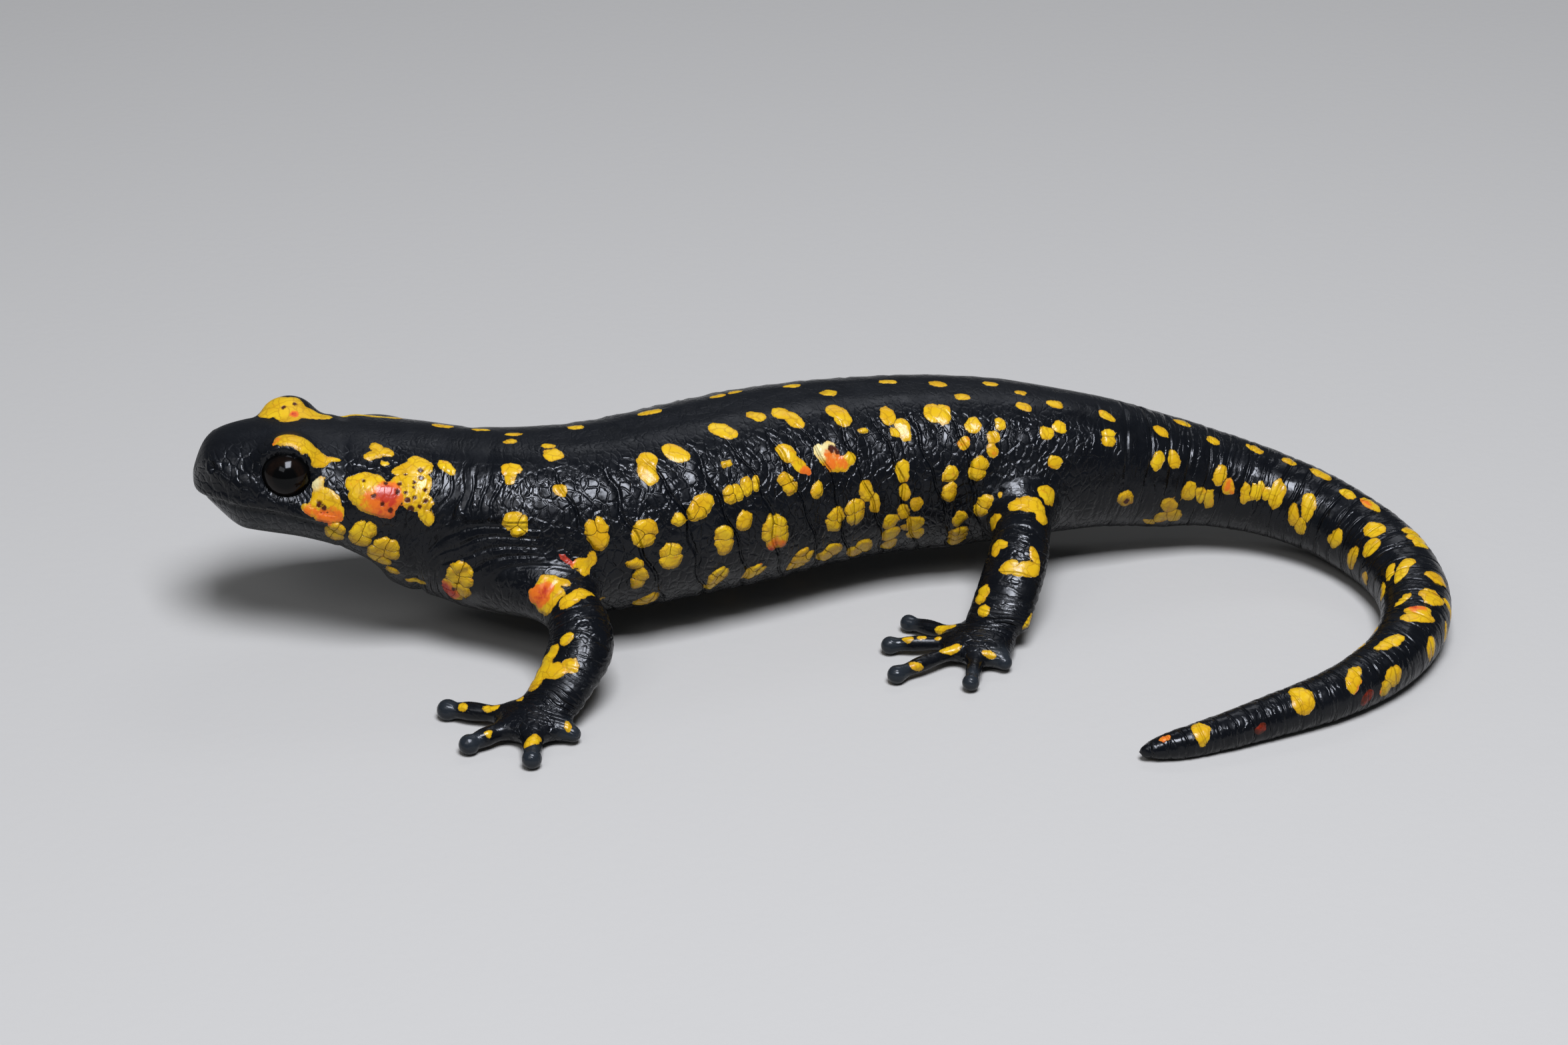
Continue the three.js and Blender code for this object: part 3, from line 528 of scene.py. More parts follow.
class Limb:
    """One limb: an upper and lower length, a palm or sole, and its digits."""

    SAMPLES = 61
    END_ROUND = 1.6  # how far the wrist rounds on past the end of its path
    DIGIT_SAMPLES = 25

    def __init__(self, side, girdle, root, joint, wrist, palm, tips):
        centre, back, left, _ = spine.at(girdle)
        self.origin = centre * (1, 1, 0)
        self.outward = unit(left * (1, 1, 0)) * side
        self.rearward = unit(back * (1, 1, 0))
        root, joint, wrist = (self.point(*place) for place in (root, joint, wrist))
        bends = [joint + unit(end - joint) * JOINT_ROUND for end in (root, wrist)]
        self.path, along = curve_points([root, *bends, wrist], self.SAMPLES)
        across = unit(np.cross(along, (0, 0, 1)))
        self.axes = [along, across, np.cross(across, along)]
        outline = smooth_rows(ARM_OUTLINE if len(tips) == 4 else LEG_OUTLINE)
        self.radii = outline(np.linspace(0, 1, self.SAMPLES))
        self.reach = np.concatenate([[0], np.cumsum(np.linalg.norm(np.diff(self.path, axis=0), axis=1))])
        self.palm = self.point(*palm)
        tip_height = DIGIT["tip"] - DIGIT["press"]
        self.digit_share = 1 if len(tips) == 4 else TOE_SHARE
        ends = [self.point(out, along_body, tip_height) for out, along_body in tips]
        aims = [unit((end - self.palm) * (1, 1, 0)) for end in ends]
        aim = unit(np.sum(aims, axis=0))
        self.palm_axes = [aim, np.cross((0, 0, 1), aim), (0, 0, 1)]
        self.digits = [self.digit_path(end) for end in ends]
        self.low = np.min([self.path.min(axis=0)] + [d[0].min(axis=0) for d in self.digits], axis=0) - 7
        self.high = np.max([self.path.max(axis=0)] + [d[0].max(axis=0) for d in self.digits], axis=0) + 7

    def point(self, out, back, height):
        """A point given from the spine at the girdle: out, back along the body and over the floor."""
        return self.origin + self.outward * out + self.rearward * back + np.array((0, 0, height))

    def digit_path(self, end):
        start = self.palm * (1, 1, 0) + (0, 0, 1.5)
        middle = start + (end - start) * 0.6
        middle[2] = end[2] + DIGIT["arch"]
        path, _ = curve_points([start, middle, end], 201)
        reach = np.concatenate([[0], np.cumsum(np.linalg.norm(np.diff(path, axis=0), axis=1))])
        kept = np.linspace(0, reach[-1] - DIGIT["tip"], self.DIGIT_SAMPLES)
        i = np.clip(np.searchsorted(reach, kept), 0, 200)
        return path[i], self.digit_share * digit_radius_at(i / 200)[:, 0]

    def near(self, points):
        return np.all((points > self.low) & (points < self.high), axis=1)

    def arm_chart(self, points):
        """Share of the way along the limb, and the offsets across and over its axis."""
        gaps = ((points[:, None, :] - self.path[None]) ** 2).sum(axis=2)
        i = gaps.argmin(axis=1)
        ahead = ((points - self.path[i]) * self.axes[0][i]).sum(axis=1)
        step = np.gradient(self.reach)[i]
        place = np.clip(i + np.clip(ahead / step, -1, 1), 0, self.SAMPLES - 1.001)
        j = place.astype(int)
        share = (place - j)[:, None]
        mix = lambda table: table[j] * (1 - share) + table[j + 1] * share
        offset = points - mix(self.path)
        along, across, over = ((offset * mix(axis)).sum(axis=1) for axis in self.axes)
        inside = (place > 0.01) & (place < self.SAMPLES - 1.01)
        return place, np.where(inside, 0, along), across, over, mix(self.radii)

    def distance(self, points):
        """How far each point is outside the limb, and outside its nearest digit."""
        _, along, across, over, radii = self.arm_chart(points)
        local = np.stack([across, over, along], axis=1)
        radii = np.column_stack([radii, np.full(len(points), self.END_ROUND)])
        share = np.maximum(np.linalg.norm(local / radii, axis=1), 1e-6)
        arm = np.linalg.norm(local, axis=1) * (1 - 1 / share)
        palm = ellipsoid_distance(points, self.palm, self.palm_axes, PALM_AXES)
        hand = palm
        nearest = np.full(len(points), np.inf)
        for path, radius in self.digits:
            digit = (np.linalg.norm(points[:, None, :] - path[None], axis=2) - radius).min(axis=1)
            hand = blend_min(hand, digit, WEB_FILLET)
            nearest = np.minimum(nearest, digit)
        return blend_min(arm, hand, WRIST_FILLET), nearest


limbs = {name: Limb(**sizes) for name, sizes in LIMBS.items()}


class Head:
    """What stands out from the head's round form: lids, eye sockets and parotoid glands."""

    def __init__(self, side):
        _, self.back, self.left, self.up = spine.at(HEAD_MIDDLE)
        self.eye = spine.head_point(EYE["back"], EYE["out"], EYE["up"], side)
        self.lid = spine.head_point(EYE_LID["back"], EYE_LID["out"], EYE_LID["up"], side)
        # The opening of the lids looks outwards, a little forwards and up.
        self.gaze = unit(self.left * side - self.back * 0.16 + self.up * 0.24)
        self.gaze_level = unit(self.back - self.gaze * (self.back @ self.gaze))
        self.gaze_over = np.cross(self.gaze, self.gaze_level)
        lean = math.radians(PAROTOID["lean"]) * side
        out = self.left * math.cos(lean) + self.up * math.sin(lean)
        over = self.up * math.cos(lean) - self.left * math.sin(lean)
        self.gland_axes = [self.back, out, over]
        self.gland = spine.head_point(PAROTOID["back"], PAROTOID["out"], PAROTOID["up"], side)

    def lids_distance(self, points):
        """The lids swell round the eyeball."""
        reach = np.linalg.norm(points - self.eye, axis=1)
        over_lid = np.linalg.norm(points - self.lid, axis=1) - EYE_LID["radius"]
        return blend_min(over_lid, reach - (EYE["radius"] + LID_THICKNESS), 0.5)

    def cut_opening(self, points, distance):
        """Opens the lids towards the gaze, down to just under the eyeball's surface."""
        offset = points - self.eye
        reach = np.maximum(np.linalg.norm(offset, axis=1), 1e-6)
        along, across = (math.sin(math.radians(a)) for a in LID_OPENING)
        oval = np.hypot(offset @ self.gaze_level / along, offset @ self.gaze_over / across) / reach
        oval = np.where(offset @ self.gaze > 0, oval, 2)
        cone = (1 - oval) * reach * across
        under_eye = reach - (EYE["radius"] - EYE_DIP)
        return blend_max(distance, blend_min(cone, under_eye, 0.2), 0.4)


heads = {side: Head(side) for side in (1, -1)}


def trunk_distance(points, stations):
    """How far each point is outside the round form of head, trunk and tail."""
    centre, back, left, up = spine.at(stations)
    offset = points - centre
    out = (offset * left).sum(axis=1)
    over = (offset * up).sum(axis=1)
    station = stations + (offset * back).sum(axis=1)
    half_width, rise, drop = outline_at(station).T
    height = np.where(over > 0, rise, drop)
    n = BODY_SQUARENESS
    fill = (np.abs(out / half_width) ** n + np.abs(over / height) ** n) ** (1 / n)
    # The snout and the tail tip round off like the ends of an ellipsoid.
    ahead = np.maximum(SNOUT_ROUND - station, 0) + np.maximum(station - BODY_LENGTH + TAIL_ROUND, 0)
    length = np.where(station < BODY_LENGTH / 2, SNOUT_ROUND, TAIL_ROUND)
    fill = np.maximum(np.hypot(fill, ahead / length), 1e-6)
    return np.sqrt(out**2 + over**2 + ahead**2) * (1 - 1 / fill)


def skin_distance(points, stations):
    """How far each point is outside the skin, and the same for limbs and digits alone."""
    skin = trunk_distance(points, stations)
    at_head = np.nonzero(stations < 32)[0]
    near = points[at_head]
    headed = skin[at_head]
    for head in heads.values():
        gland = ellipsoid_distance(near, head.gland, head.gland_axes, PAROTOID["axes"])
        headed = blend_min(headed, gland, 0.8)
        headed = blend_min(headed, head.lids_distance(near), 1.0)
    for head in heads.values():
        headed = head.cut_opening(near, headed)
    skin[at_head] = headed
    limb_gap = np.full(len(points), 99.0)
    digit_gap = np.full(len(points), 99.0)
    for limb in limbs.values():
        at_limb = np.nonzero(limb.near(points))[0]
        arm, digit = limb.distance(points[at_limb])
        skin[at_limb] = blend_min(skin[at_limb], arm, LIMB_FILLET)
        limb_gap[at_limb] = np.minimum(limb_gap[at_limb], arm)
        digit_gap[at_limb] = np.minimum(digit_gap[at_limb], digit)
    return skin, limb_gap, digit_gap


def deselect_all():
    if bpy.context.mode != "OBJECT":
        bpy.ops.object.mode_set(mode="OBJECT")
    bpy.ops.object.select_all(action="DESELECT")


def make_active(obj):
    deselect_all()
    obj.select_set(True)
    bpy.context.view_layer.objects.active = obj


def apply_modifier(obj, kind, **settings):
    modifier = obj.modifiers.new(kind.title(), kind)
    for name, value in settings.items():
        setattr(modifier, name, value)
    make_active(obj)
    bpy.ops.object.modifier_apply(modifier=modifier.name)


def read_vectors(elements, name):
    values = np.empty(len(elements) * 3, dtype=np.float32)
    elements.foreach_get(name, values)
    return values.reshape(-1, 3).astype(float)


def set_points(mesh, points):
    mesh.vertices.foreach_set("co", (points * MM).astype(np.float32).ravel())
    mesh.update()


def get_points(mesh):
    return read_vectors(mesh.vertices, "co") / MM


def get_normals(mesh):
    return read_vectors(mesh.vertex_normals, "vector")


def get_edges(mesh):
    edges = np.empty(len(mesh.edges) * 2, dtype=np.int32)
    mesh.edges.foreach_get("vertices", edges)
    return edges.reshape(-1, 2)


def neighbour_mean(values, edges):
    """The mean of each vertex's neighbours, for values of one or more numbers a vertex."""
    flat = values.reshape(len(values), -1)
    ends = np.concatenate([edges[:, 0], edges[:, 1]])
    others = np.concatenate([edges[:, 1], edges[:, 0]])
    counts = np.maximum(np.bincount(ends, minlength=len(flat)), 1)
    sums = [np.bincount(ends, weights=flat[others, k], minlength=len(flat)) for k in range(flat.shape[1])]
    return (np.stack(sums, axis=1) / counts[:, None]).reshape(values.shape)


def keep_outer_shell(obj):
    """Deletes the small closed hollows that the cuts leave inside."""
    make_active(obj)
    bpy.ops.object.mode_set(mode="EDIT")
    bpy.ops.mesh.select_all(action="DESELECT")
    bpy.ops.object.mode_set(mode="OBJECT")
    snout = get_points(obj.data)[:, 0].argmin()
    obj.data.vertices[snout].select = True
    bpy.ops.object.mode_set(mode="EDIT")
    bpy.ops.mesh.select_mode(type="VERT")
    bpy.ops.mesh.select_linked()
    bpy.ops.mesh.select_all(action="INVERT")
    bpy.ops.mesh.delete(type="VERT")
    bpy.ops.object.mode_set(mode="OBJECT")


def flesh_block(cell):
    """One closed mesh over all the solids of flesh, with the thin cuts between them closed."""
    copies = []
    for name, node in frame["nodes"].items():
        copy = node.copy()
        copy.data = node.data.copy()
        copy.parent = None
        bpy.context.scene.collection.objects.link(copy)
        make_active(copy)
        bpy.ops.object.mode_set(mode="EDIT")
        bpy.ops.mesh.select_all(action="SELECT")
        bpy.ops.mesh.remove_doubles(threshold=1e-6)
        bpy.ops.object.mode_set(mode="OBJECT")
        swell = SWELL_DIGIT if "finger" in name or "toe" in name else SWELL
        apply_modifier(copy, "DISPLACE", strength=swell * MM, mid_level=0)
        copies.append(copy)
    deselect_all()
    for copy in copies:
        copy.select_set(True)
    bpy.context.view_layer.objects.active = copies[0]
    bpy.ops.object.join()
    block = bpy.context.view_layer.objects.active
    block.name = "skin"
    block.data.name = "skin"
    block.data.materials.clear()
    apply_modifier(block, "REMESH", mode="VOXEL", voxel_size=BLOCK_CELL * MM, adaptivity=0)
    keep_outer_shell(block)
    apply_modifier(block, "REMESH", mode="VOXEL", voxel_size=cell, adaptivity=0)
    for attribute in [a.name for a in block.data.attributes if not (a.is_internal or a.is_required)]:
        block.data.attributes.remove(block.data.attributes[attribute])
    return block


def draw_to_form(mesh, rounds, soften=0):
    """Moves every vertex along its normal onto the skin's form, evens the mesh out and gives stations."""
    points = get_points(mesh)
    stations = spine.nearest(points)
    edges = get_edges(mesh)
    for _ in range(soften):
        points = (points + neighbour_mean(points, edges)) / 2
    set_points(mesh, points)
    for _ in range(rounds):
        normals = get_normals(mesh)
        middle = neighbour_mean(points, edges) - points
        slide = middle - normals * (middle * normals).sum(axis=1)[:, None]
        stray = np.linalg.norm(middle, axis=1, keepdims=True) > STRAY_GAP
        points = points + np.where(stray, middle, slide * EVENING)
        for _ in range(2):
            stations = spine.refine(points, stations, 2)
            here = skin_distance(points, stations)[0]
            slope = (skin_distance(points + normals * PROBE, stations)[0] - here) / PROBE
            step = -here / np.maximum(slope, LEAST_SLOPE)
            points = points + normals * np.clip(step, -MOST_STEP, MOST_STEP)[:, None]
        set_points(mesh, points)
    return spine.refine(points, stations)


def subdivide_where(mesh, chosen):
    """Halves every edge whose ends are both chosen."""
    work = bmesh.new()
    work.from_mesh(mesh)
    work.verts.ensure_lookup_table()
    edges = [e for e in work.edges if chosen[e.verts[0].index] and chosen[e.verts[1].index]]
    bmesh.ops.subdivide_edges(work, edges=edges, cuts=1, use_grid_fill=True, smooth=0)
    work.to_mesh(mesh)
    work.free()
    mesh.update()


def body_angles(points, stations):
    """The angle round the body in degrees, the distance from its axis, and the way out and up."""
    centre, _, left, up = spine.at(stations)
    offset = points - centre
    out = (offset * left).sum(axis=1)
    over = (offset * up).sum(axis=1)
    return np.degrees(np.arctan2(over, out)) % 360, np.hypot(out, over), out, over


class SkinMap:
    """Where each vertex of the skin lies: along and round the body, or along and round a limb."""

    def __init__(self, mesh, stations):
        self.points = get_points(mesh)
        self.normals = get_normals(mesh)
        self.stations = spine.refine(self.points, stations)
        angles, radius, out, over = body_angles(self.points, self.stations)
        self.angles = angles
        self.radius = radius
        self.over = over
        # Degrees up from the animal's side, the same on the left and on the right.
        self.rise = np.degrees(np.arctan2(over, np.abs(out)))
        _, self.limb_gap, self.digit_gap = skin_distance(self.points, self.stations)
        self.on_body = ramp(self.limb_gap, 0.2, 1.8)
        count = len(self.points)
        self.limb_reach = np.zeros(count)
        self.limb_turn = np.zeros(count)
        self.limb_share = np.zeros(count)
        best = np.full(count, np.inf)
        for limb in limbs.values():
            near = np.nonzero(limb.near(self.points))[0]
            place, beyond, across, over_axis, _ = limb.arm_chart(self.points[near])
            gap = limb.distance(self.points[near])[0]
            closer = gap < best[near]
            near = near[closer]
            best[near] = gap[closer]
            reach = np.interp(place[closer], np.arange(limb.SAMPLES), limb.reach) + beyond[closer]
            self.limb_reach[near] = reach
            self.limb_share[near] = reach / limb.reach[-1]
            self.limb_turn[near] = np.degrees(np.arctan2(over_axis, across))[closer]


def noise_at(points, size, seed):
    """A smooth random value from about -1 to 1 that changes over the size in mm."""
    shift = Vector((seed * 17.3, seed * 5.1, seed * 9.7))
    return np.array([noise.noise(Vector(p) / size + shift) for p in points])


def groove(distance, width):
    """A furrow's depth from 0 to 1, from the distance to its middle."""
    return np.exp(-((distance / width) ** 2))


def head_shape(at):
    """The mouth line, lips, nostrils and hollows of the head, as heights in mm over its round form."""
    s = at.stations
    height = SNOUT_LIFT * bump(s, 2.2, 2.2) * ramp(at.over, 0.5, 3)
    line = mouth_at(s)[:, 0]
    corner = ramp(s, MOUTH_CORNER + 1, MOUTH_CORNER - 1.5)
    above = at.over - line
    height = height - 0.38 * corner * groove(above, 0.28)
    height = height - 0.28 * corner * ramp(above, 0.1, -0.4) * ramp(above, -4, -1)
    height = height + 0.12 * corner * bump(above, 0.8, 0.5)
    # Behind the corner of the mouth a crease runs on and down.
    behind = s - MOUTH_CORNER - 0.6 + 0.35 * (above + 1.5)
    height = height - 0.2 * groove(behind, 0.35) * bump(above, -1.6, 1.4)
    # A shallow hollow before the eye, and a step between the eye's lids and the parotoid.
    height = height - 0.3 * bump(s, 4.6, 1.6) * bump(at.rise, 33, 14)
    height = height - 0.25 * bump(s, 14.2, 0.7) * ramp(at.rise, 25, 40) * ramp(at.rise, 80, 60)
    # The parotoid's lower and rear edges stand off the neck.
    height = height - 0.3 * bump(s, 27.6, 0.6) * ramp(at.rise, -5, 10) * ramp(at.rise, 70, 55)
    height = height - 0.2 * bump(at.rise, 6, 4) * ramp(s, 16, 19) * ramp(s, 28, 25)
    return np.where(s < 32, height, 0)


def wander_of(at):
    """A slow sideways wander, in mm, that keeps folds from being ruled lines."""
    s = at.stations
    return 0.3 * np.sin(at.rise * 0.11 + s * 0.7) + 0.2 * np.sin(at.rise * 0.23 - s * 0.4)


def rib_lines(at):
    """The count of rib grooves passed on the way back, whole at each groove, and their strength."""
    s = at.stations
    lean = RIB_LEAN * (1 - at.rise / 75)
    count = (s - lean - RIBS["from"] + wander_of(at)) / RIBS["spacing"]
    strength = ramp(s, RIBS["from"] - 2, RIBS["from"] + 2) * ramp(s, RIBS["to"] + 2, RIBS["to"] - 2)
    return count, strength * ramp(at.rise, -62, -40) * ramp(at.rise, 68, 46) * at.on_body


def ring_lines(at):
    """The same for the rings of the tail."""
    count = ring_count_at(at.stations)[:, 0] + 0.06 * np.sin(np.radians(at.angles) * 3 + at.stations)
    return count, ramp(at.stations, TAIL_RINGS["from"] - 3, TAIL_RINGS["from"] + 4) * at.on_body


def body_folds(at):
    """The grooves between the ribs, the tail's rings and the neck's folds, as heights in mm."""
    s = at.stations
    wander = wander_of(at)
    count, strength = rib_lines(at)
    off_line = (count - np.round(count)) * RIBS["spacing"]
    height = strength * (0.13 * np.cos(2 * np.pi * count) - RIBS["depth"] * groove(off_line, RIBS["width"]))
    count, strength = ring_lines(at)
    off_ring = (count - np.round(count)) * TAIL_RINGS["spacing"]
    ring_depth = TAIL_RINGS["depth"] * groove(off_ring, 0.3)
    height = height + strength * (0.05 * np.cos(2 * np.pi * count) - ring_depth)
    neck = ramp(at.rise, -55, -30) * ramp(at.rise, 58, 40)
    for station, depth in NECK_FOLDS:
        height = height - depth * neck * groove(s - station - 0.02 * at.rise + wander, 0.33)
    throat = ramp(at.rise, 8, -12)
    height = height - GULAR_FOLD["depth"] * throat * groove(s - GULAR_FOLD["station"] + 0.02 * at.rise, 0.5)
    height = height - 0.14 * ramp(at.rise, 74, 90) * ramp(s, 34, 40) * ramp(s, 86, 78)
    # The vent: a swelling with a slit along its middle.
    height = height + 0.5 * bump(s, VENT, 4) * ramp(at.rise, -60, -85)
    off_middle = at.radius * np.cos(np.radians(at.angles))
    height = height - 0.4 * groove(off_middle, 0.3) * bump(s, VENT, 2.5) * (at.rise < -60)
    return height * at.on_body


def limb_folds(at):
    """Creases where the limbs bend and where they leave the trunk, as heights in mm."""
    s = at.stations
    height = np.zeros(len(s))
    off_body = ramp(at.limb_gap, 0.5, 0.1)
    wander = 0.25 * np.sin(np.radians(at.limb_turn) * 2 + at.limb_reach)
    ring_at = (at.limb_reach + wander) / LIMB_RINGS["spacing"]
    off_ring = (ring_at - np.round(ring_at)) * LIMB_RINGS["spacing"]
    bends = bump(at.limb_share, 0.5, 0.16) + bump(at.limb_share, 0.9, 0.14)
    height = height - LIMB_RINGS["depth"] * off_body * np.minimum(bends, 1) * groove(off_ring, 0.28)
    for gap, depth in ((1.5, 0.16), (2.7, 0.14), (4, 0.1)):
        shoulder = bump(s, 30, 6) * ramp(at.rise, -40, -15)
        height = height - depth * shoulder * groove(at.limb_gap - gap + 0.3 * wander, 0.3)
    return height


# Markings


class SkinFinder:
    """Finds places on the made skin from places given on the body or on a limb."""

    CHART_RADIUS = 8  # the angle round the body counts as an arc of this radius

    def __init__(self, mesh, at):
        self.at = at
        faces = [p.vertices for p in mesh.polygons]
        self.surface = BVHTree.FromPolygons([Vector(p) for p in at.points], faces)
        angles = np.radians(at.angles)
        arcs = [self.CHART_RADIUS * wave(angles) for wave in (np.cos, np.sin)]
        chart = np.stack([at.stations, *arcs], axis=1)
        self.body_tree = self.tree_of(chart, np.nonzero(at.limb_gap > 0.3)[0])
        self.tree = self.tree_of(at.points, range(len(at.points)))
        waves = [
            noise_at(at.points, 1.3, seed) + 0.5 * noise_at(at.points, 0.6, seed) for seed in (11, 12, 13)
        ]
        self.wandered = at.points + SPOT_WARP * np.stack(waves, axis=1)

    def tree_of(self, places, chosen):
        tree = kdtree.KDTree(len(chosen))
        for i in chosen:
            tree.insert(places[i], i)
        tree.balance()
        return tree

    def frame_at(self, vertex, along):
        """The vertex's place, with unit vectors out of the skin, along it and round it."""
        out = self.at.normals[vertex]
        along = unit(along - out * (along @ out))
        return self.at.points[vertex], along, np.cross(out, along)

    def on_body(self, station, angle):
        turn = math.radians(angle)
        key = (station, self.CHART_RADIUS * math.cos(turn), self.CHART_RADIUS * math.sin(turn))
        vertex = self.body_tree.find(key)[1]
        return self.frame_at(vertex, spine.at(station)[1])

    def on_limb(self, name, out, back, height):
        limb = limbs[name]
        vertex = self.tree.find(limb.point(out, back, height))[1]
        return self.frame_at(vertex, limb.rearward)

    def settle(self, point):
        """The nearest point of the skin, and the way out of it there."""
        place, out, _, _ = self.surface.find_nearest(Vector(point))
        return np.array(place), np.array(out)

    def vertices_near(self, point, out, reach):
        """The vertices within reach on this side of the skin, as an array."""
        found = np.array([i for _, i, _ in self.tree.find_range(point, reach)], dtype=int)
        return found[self.at.normals[found] @ out > 0.1] if len(found) else found


class Glands:
    """Oval yellow glands on the skin. The ovals of one group run together."""

    def __init__(self, finder, random):
        self.finder = finder
        self.random = random
        self.ovals = []
        self.outlines = []
        self.groups = []
        self.raised = []
        self.group = 0

    def oval(self, frame_here, length, width, tilt, shift=(0, 0)):
        """An oval on the skin, shifted along and across its own length."""
        place, along, round_body = frame_here
        turn = math.radians(tilt)
        axis = along * math.cos(turn) + round_body * math.sin(turn)
        across = round_body * math.cos(turn) - along * math.sin(turn)
        place, out = self.finder.settle(place + axis * shift[0] + across * shift[1])
        axis = unit(axis - out * (axis @ out))
        return place, out, axis, length / 2, width / 2

    def add(self, oval, raised, outline=None):
        """Adds an oval to the group, cut off a little outside the outline if there is one."""
        self.ovals.append(oval)
        self.outlines.append(outline)
        self.groups.append(self.group)
        self.raised.append(raised)

    def patch(self, frames_and_forms, raised):
        """A few ovals that run together."""
        self.group += 1
        for frame_here, form in frames_and_forms:
            self.add(self.oval(frame_here, *form), raised)

    def flat_spot(self, frame_here, length, width, tilt):
        """A smooth spot: an oval, and a smaller one that makes its outline less even."""
        self.group += 1
        self.add(self.oval(frame_here, length, width, tilt), FLAT_RAISE)
        aside = self.random.choice((-1, 1)) * self.random.uniform(0.1, 0.22) * length
        over = self.random.uniform(-0.14, 0.14) * width
        lean = tilt + self.random.uniform(-40, 40)
        self.add(self.oval(frame_here, 0.62 * length, 0.85 * width, lean, (aside, over)), FLAT_RAISE)

    def raised_spot(self, frame_here, length, width, tilt):
        """A cluster of glands in rows, each its own group, so that creases part them."""
        rows = max(1, round(length / GLAND_SIZE))
        outline = self.oval(frame_here, length, width, tilt)
        for row in range(rows):
            part = (row + 0.5) / rows * 2 - 1
            narrow = math.sqrt(1 - 0.5 * part * part)
            one = width < 1.3 * GLAND_SIZE or self.random.random() < 0.35
            columns = 1 if one else 2
            for column in range(columns):
                self.group += 1
                over = (column - (columns - 1) / 2) * 0.9 * width / columns * narrow
                jitter = self.random.uniform(-0.07, 0.07, 2) * GLAND_SIZE
                size = self.random.uniform(0.95, 1.12, 2)
                long = 1.45 * length / rows * size[0]
                wide = (1.1 if one else 1.4) * width / columns * narrow * size[1]
                lean = tilt + self.random.uniform(-14, 14)
                shift = (part * 0.42 * length + jitter[0], over + jitter[1])
                self.add(self.oval(frame_here, long, wide, lean, shift), 1.0, outline)

    def classes(self):
        """A class from 0 to 3 for each gland, so that glands of two groups that touch differ."""
        places = np.array([oval[0] for oval in self.ovals])
        reach = np.array([oval[3] * 0.6 + oval[4] * 0.4 for oval in self.ovals])
        groups = np.array(self.groups)
        gaps = np.linalg.norm(places[:, None] - places[None], axis=2) - reach[:, None] - reach[None]
        chosen = {}
        for group in range(self.group + 1):
            mine = groups == group
            touched = set(groups[(gaps[mine] < 0.35).any(axis=0)]) - {group}
            taken = {chosen[other] for other in touched if other in chosen}
            free = [c for c in range(4) if c not in taken]
            chosen[group] = free[group % len(free)] if free else group % 4
        return np.array([chosen[g] for g in groups])

    def depth_in(self, oval, vertices):
        """How far inside the oval the vertices are, in mm."""
        place, out, axis, half_length, half_width = oval
        offset = self.finder.wandered[vertices] - place
        lengthwise = offset @ axis
        crosswise = offset @ np.cross(out, axis)
        share = np.maximum(np.hypot(lengthwise / half_length, crosswise / half_width), 1e-6)
        return np.hypot(lengthwise, crosswise) * (1 / share - 1)

    def fields(self):
        """For each vertex how far inside a gland of each class it is, and how much it is raised."""
        at = self.finder.at
        depth = np.full((len(at.points), 4), -1.5)
        raised = np.zeros(len(at.points))
        for oval, outline, kind, lift in zip(self.ovals, self.outlines, self.classes(), self.raised):
            place, out, _, half_length, half_width = oval
            found = self.finder.vertices_near(place, out, max(half_length, half_width) + 1.4)
            inside = self.depth_in(oval, found)
            if outline:
                inside = np.minimum(inside, self.depth_in(outline, found) + 0.12)
            higher = inside > depth[found].max(axis=1)
            raised[found[higher]] = lift
            depth[found, kind] = np.maximum(depth[found, kind], inside)
        return depth, raised


def is_hidden(station, angle):
    """Whether a place is where the markings are made by rule: the right side, or the tail end's left."""
    if station > 150:
        return not 45 < angle < 290
    return 27 < station < 128 and 130 < angle < 290


def mirrored_rows(rows, random, taken):
    """The rows again on the hidden side, moved about, where they don't crowd what is there."""
    made = []
    for station, angle, length, width, tilt in rows:
        station = station + random.uniform(-2.2, 2.2)
        angle = (180 - angle + random.uniform(-9, 9)) % 360
        if not is_hidden(station, angle):
            continue
        radius = float(outline_at(station)[0])
        crowded = False
        for other, other_angle, other_length, other_width, _ in taken + made:
            turn = (angle - other_angle + 180) % 360 - 180
            apart = math.hypot(station - other, radius * math.radians(turn))
            if apart < (length + width + other_length + other_width) / 4 + 0.7:
                crowded = True
        if not crowded:
            made.append((station, angle, length, width, -tilt))
    return made


def belly_rows(random, count):
    """Small scattered spots of the belly and throat."""
    return [
        (random.uniform(30, 86), random.uniform(228, 296), random.uniform(1.4, 2.6), random.uniform(1.1, 1.8),
         random.uniform(-80, 80))
        for _ in range(count)
    ]


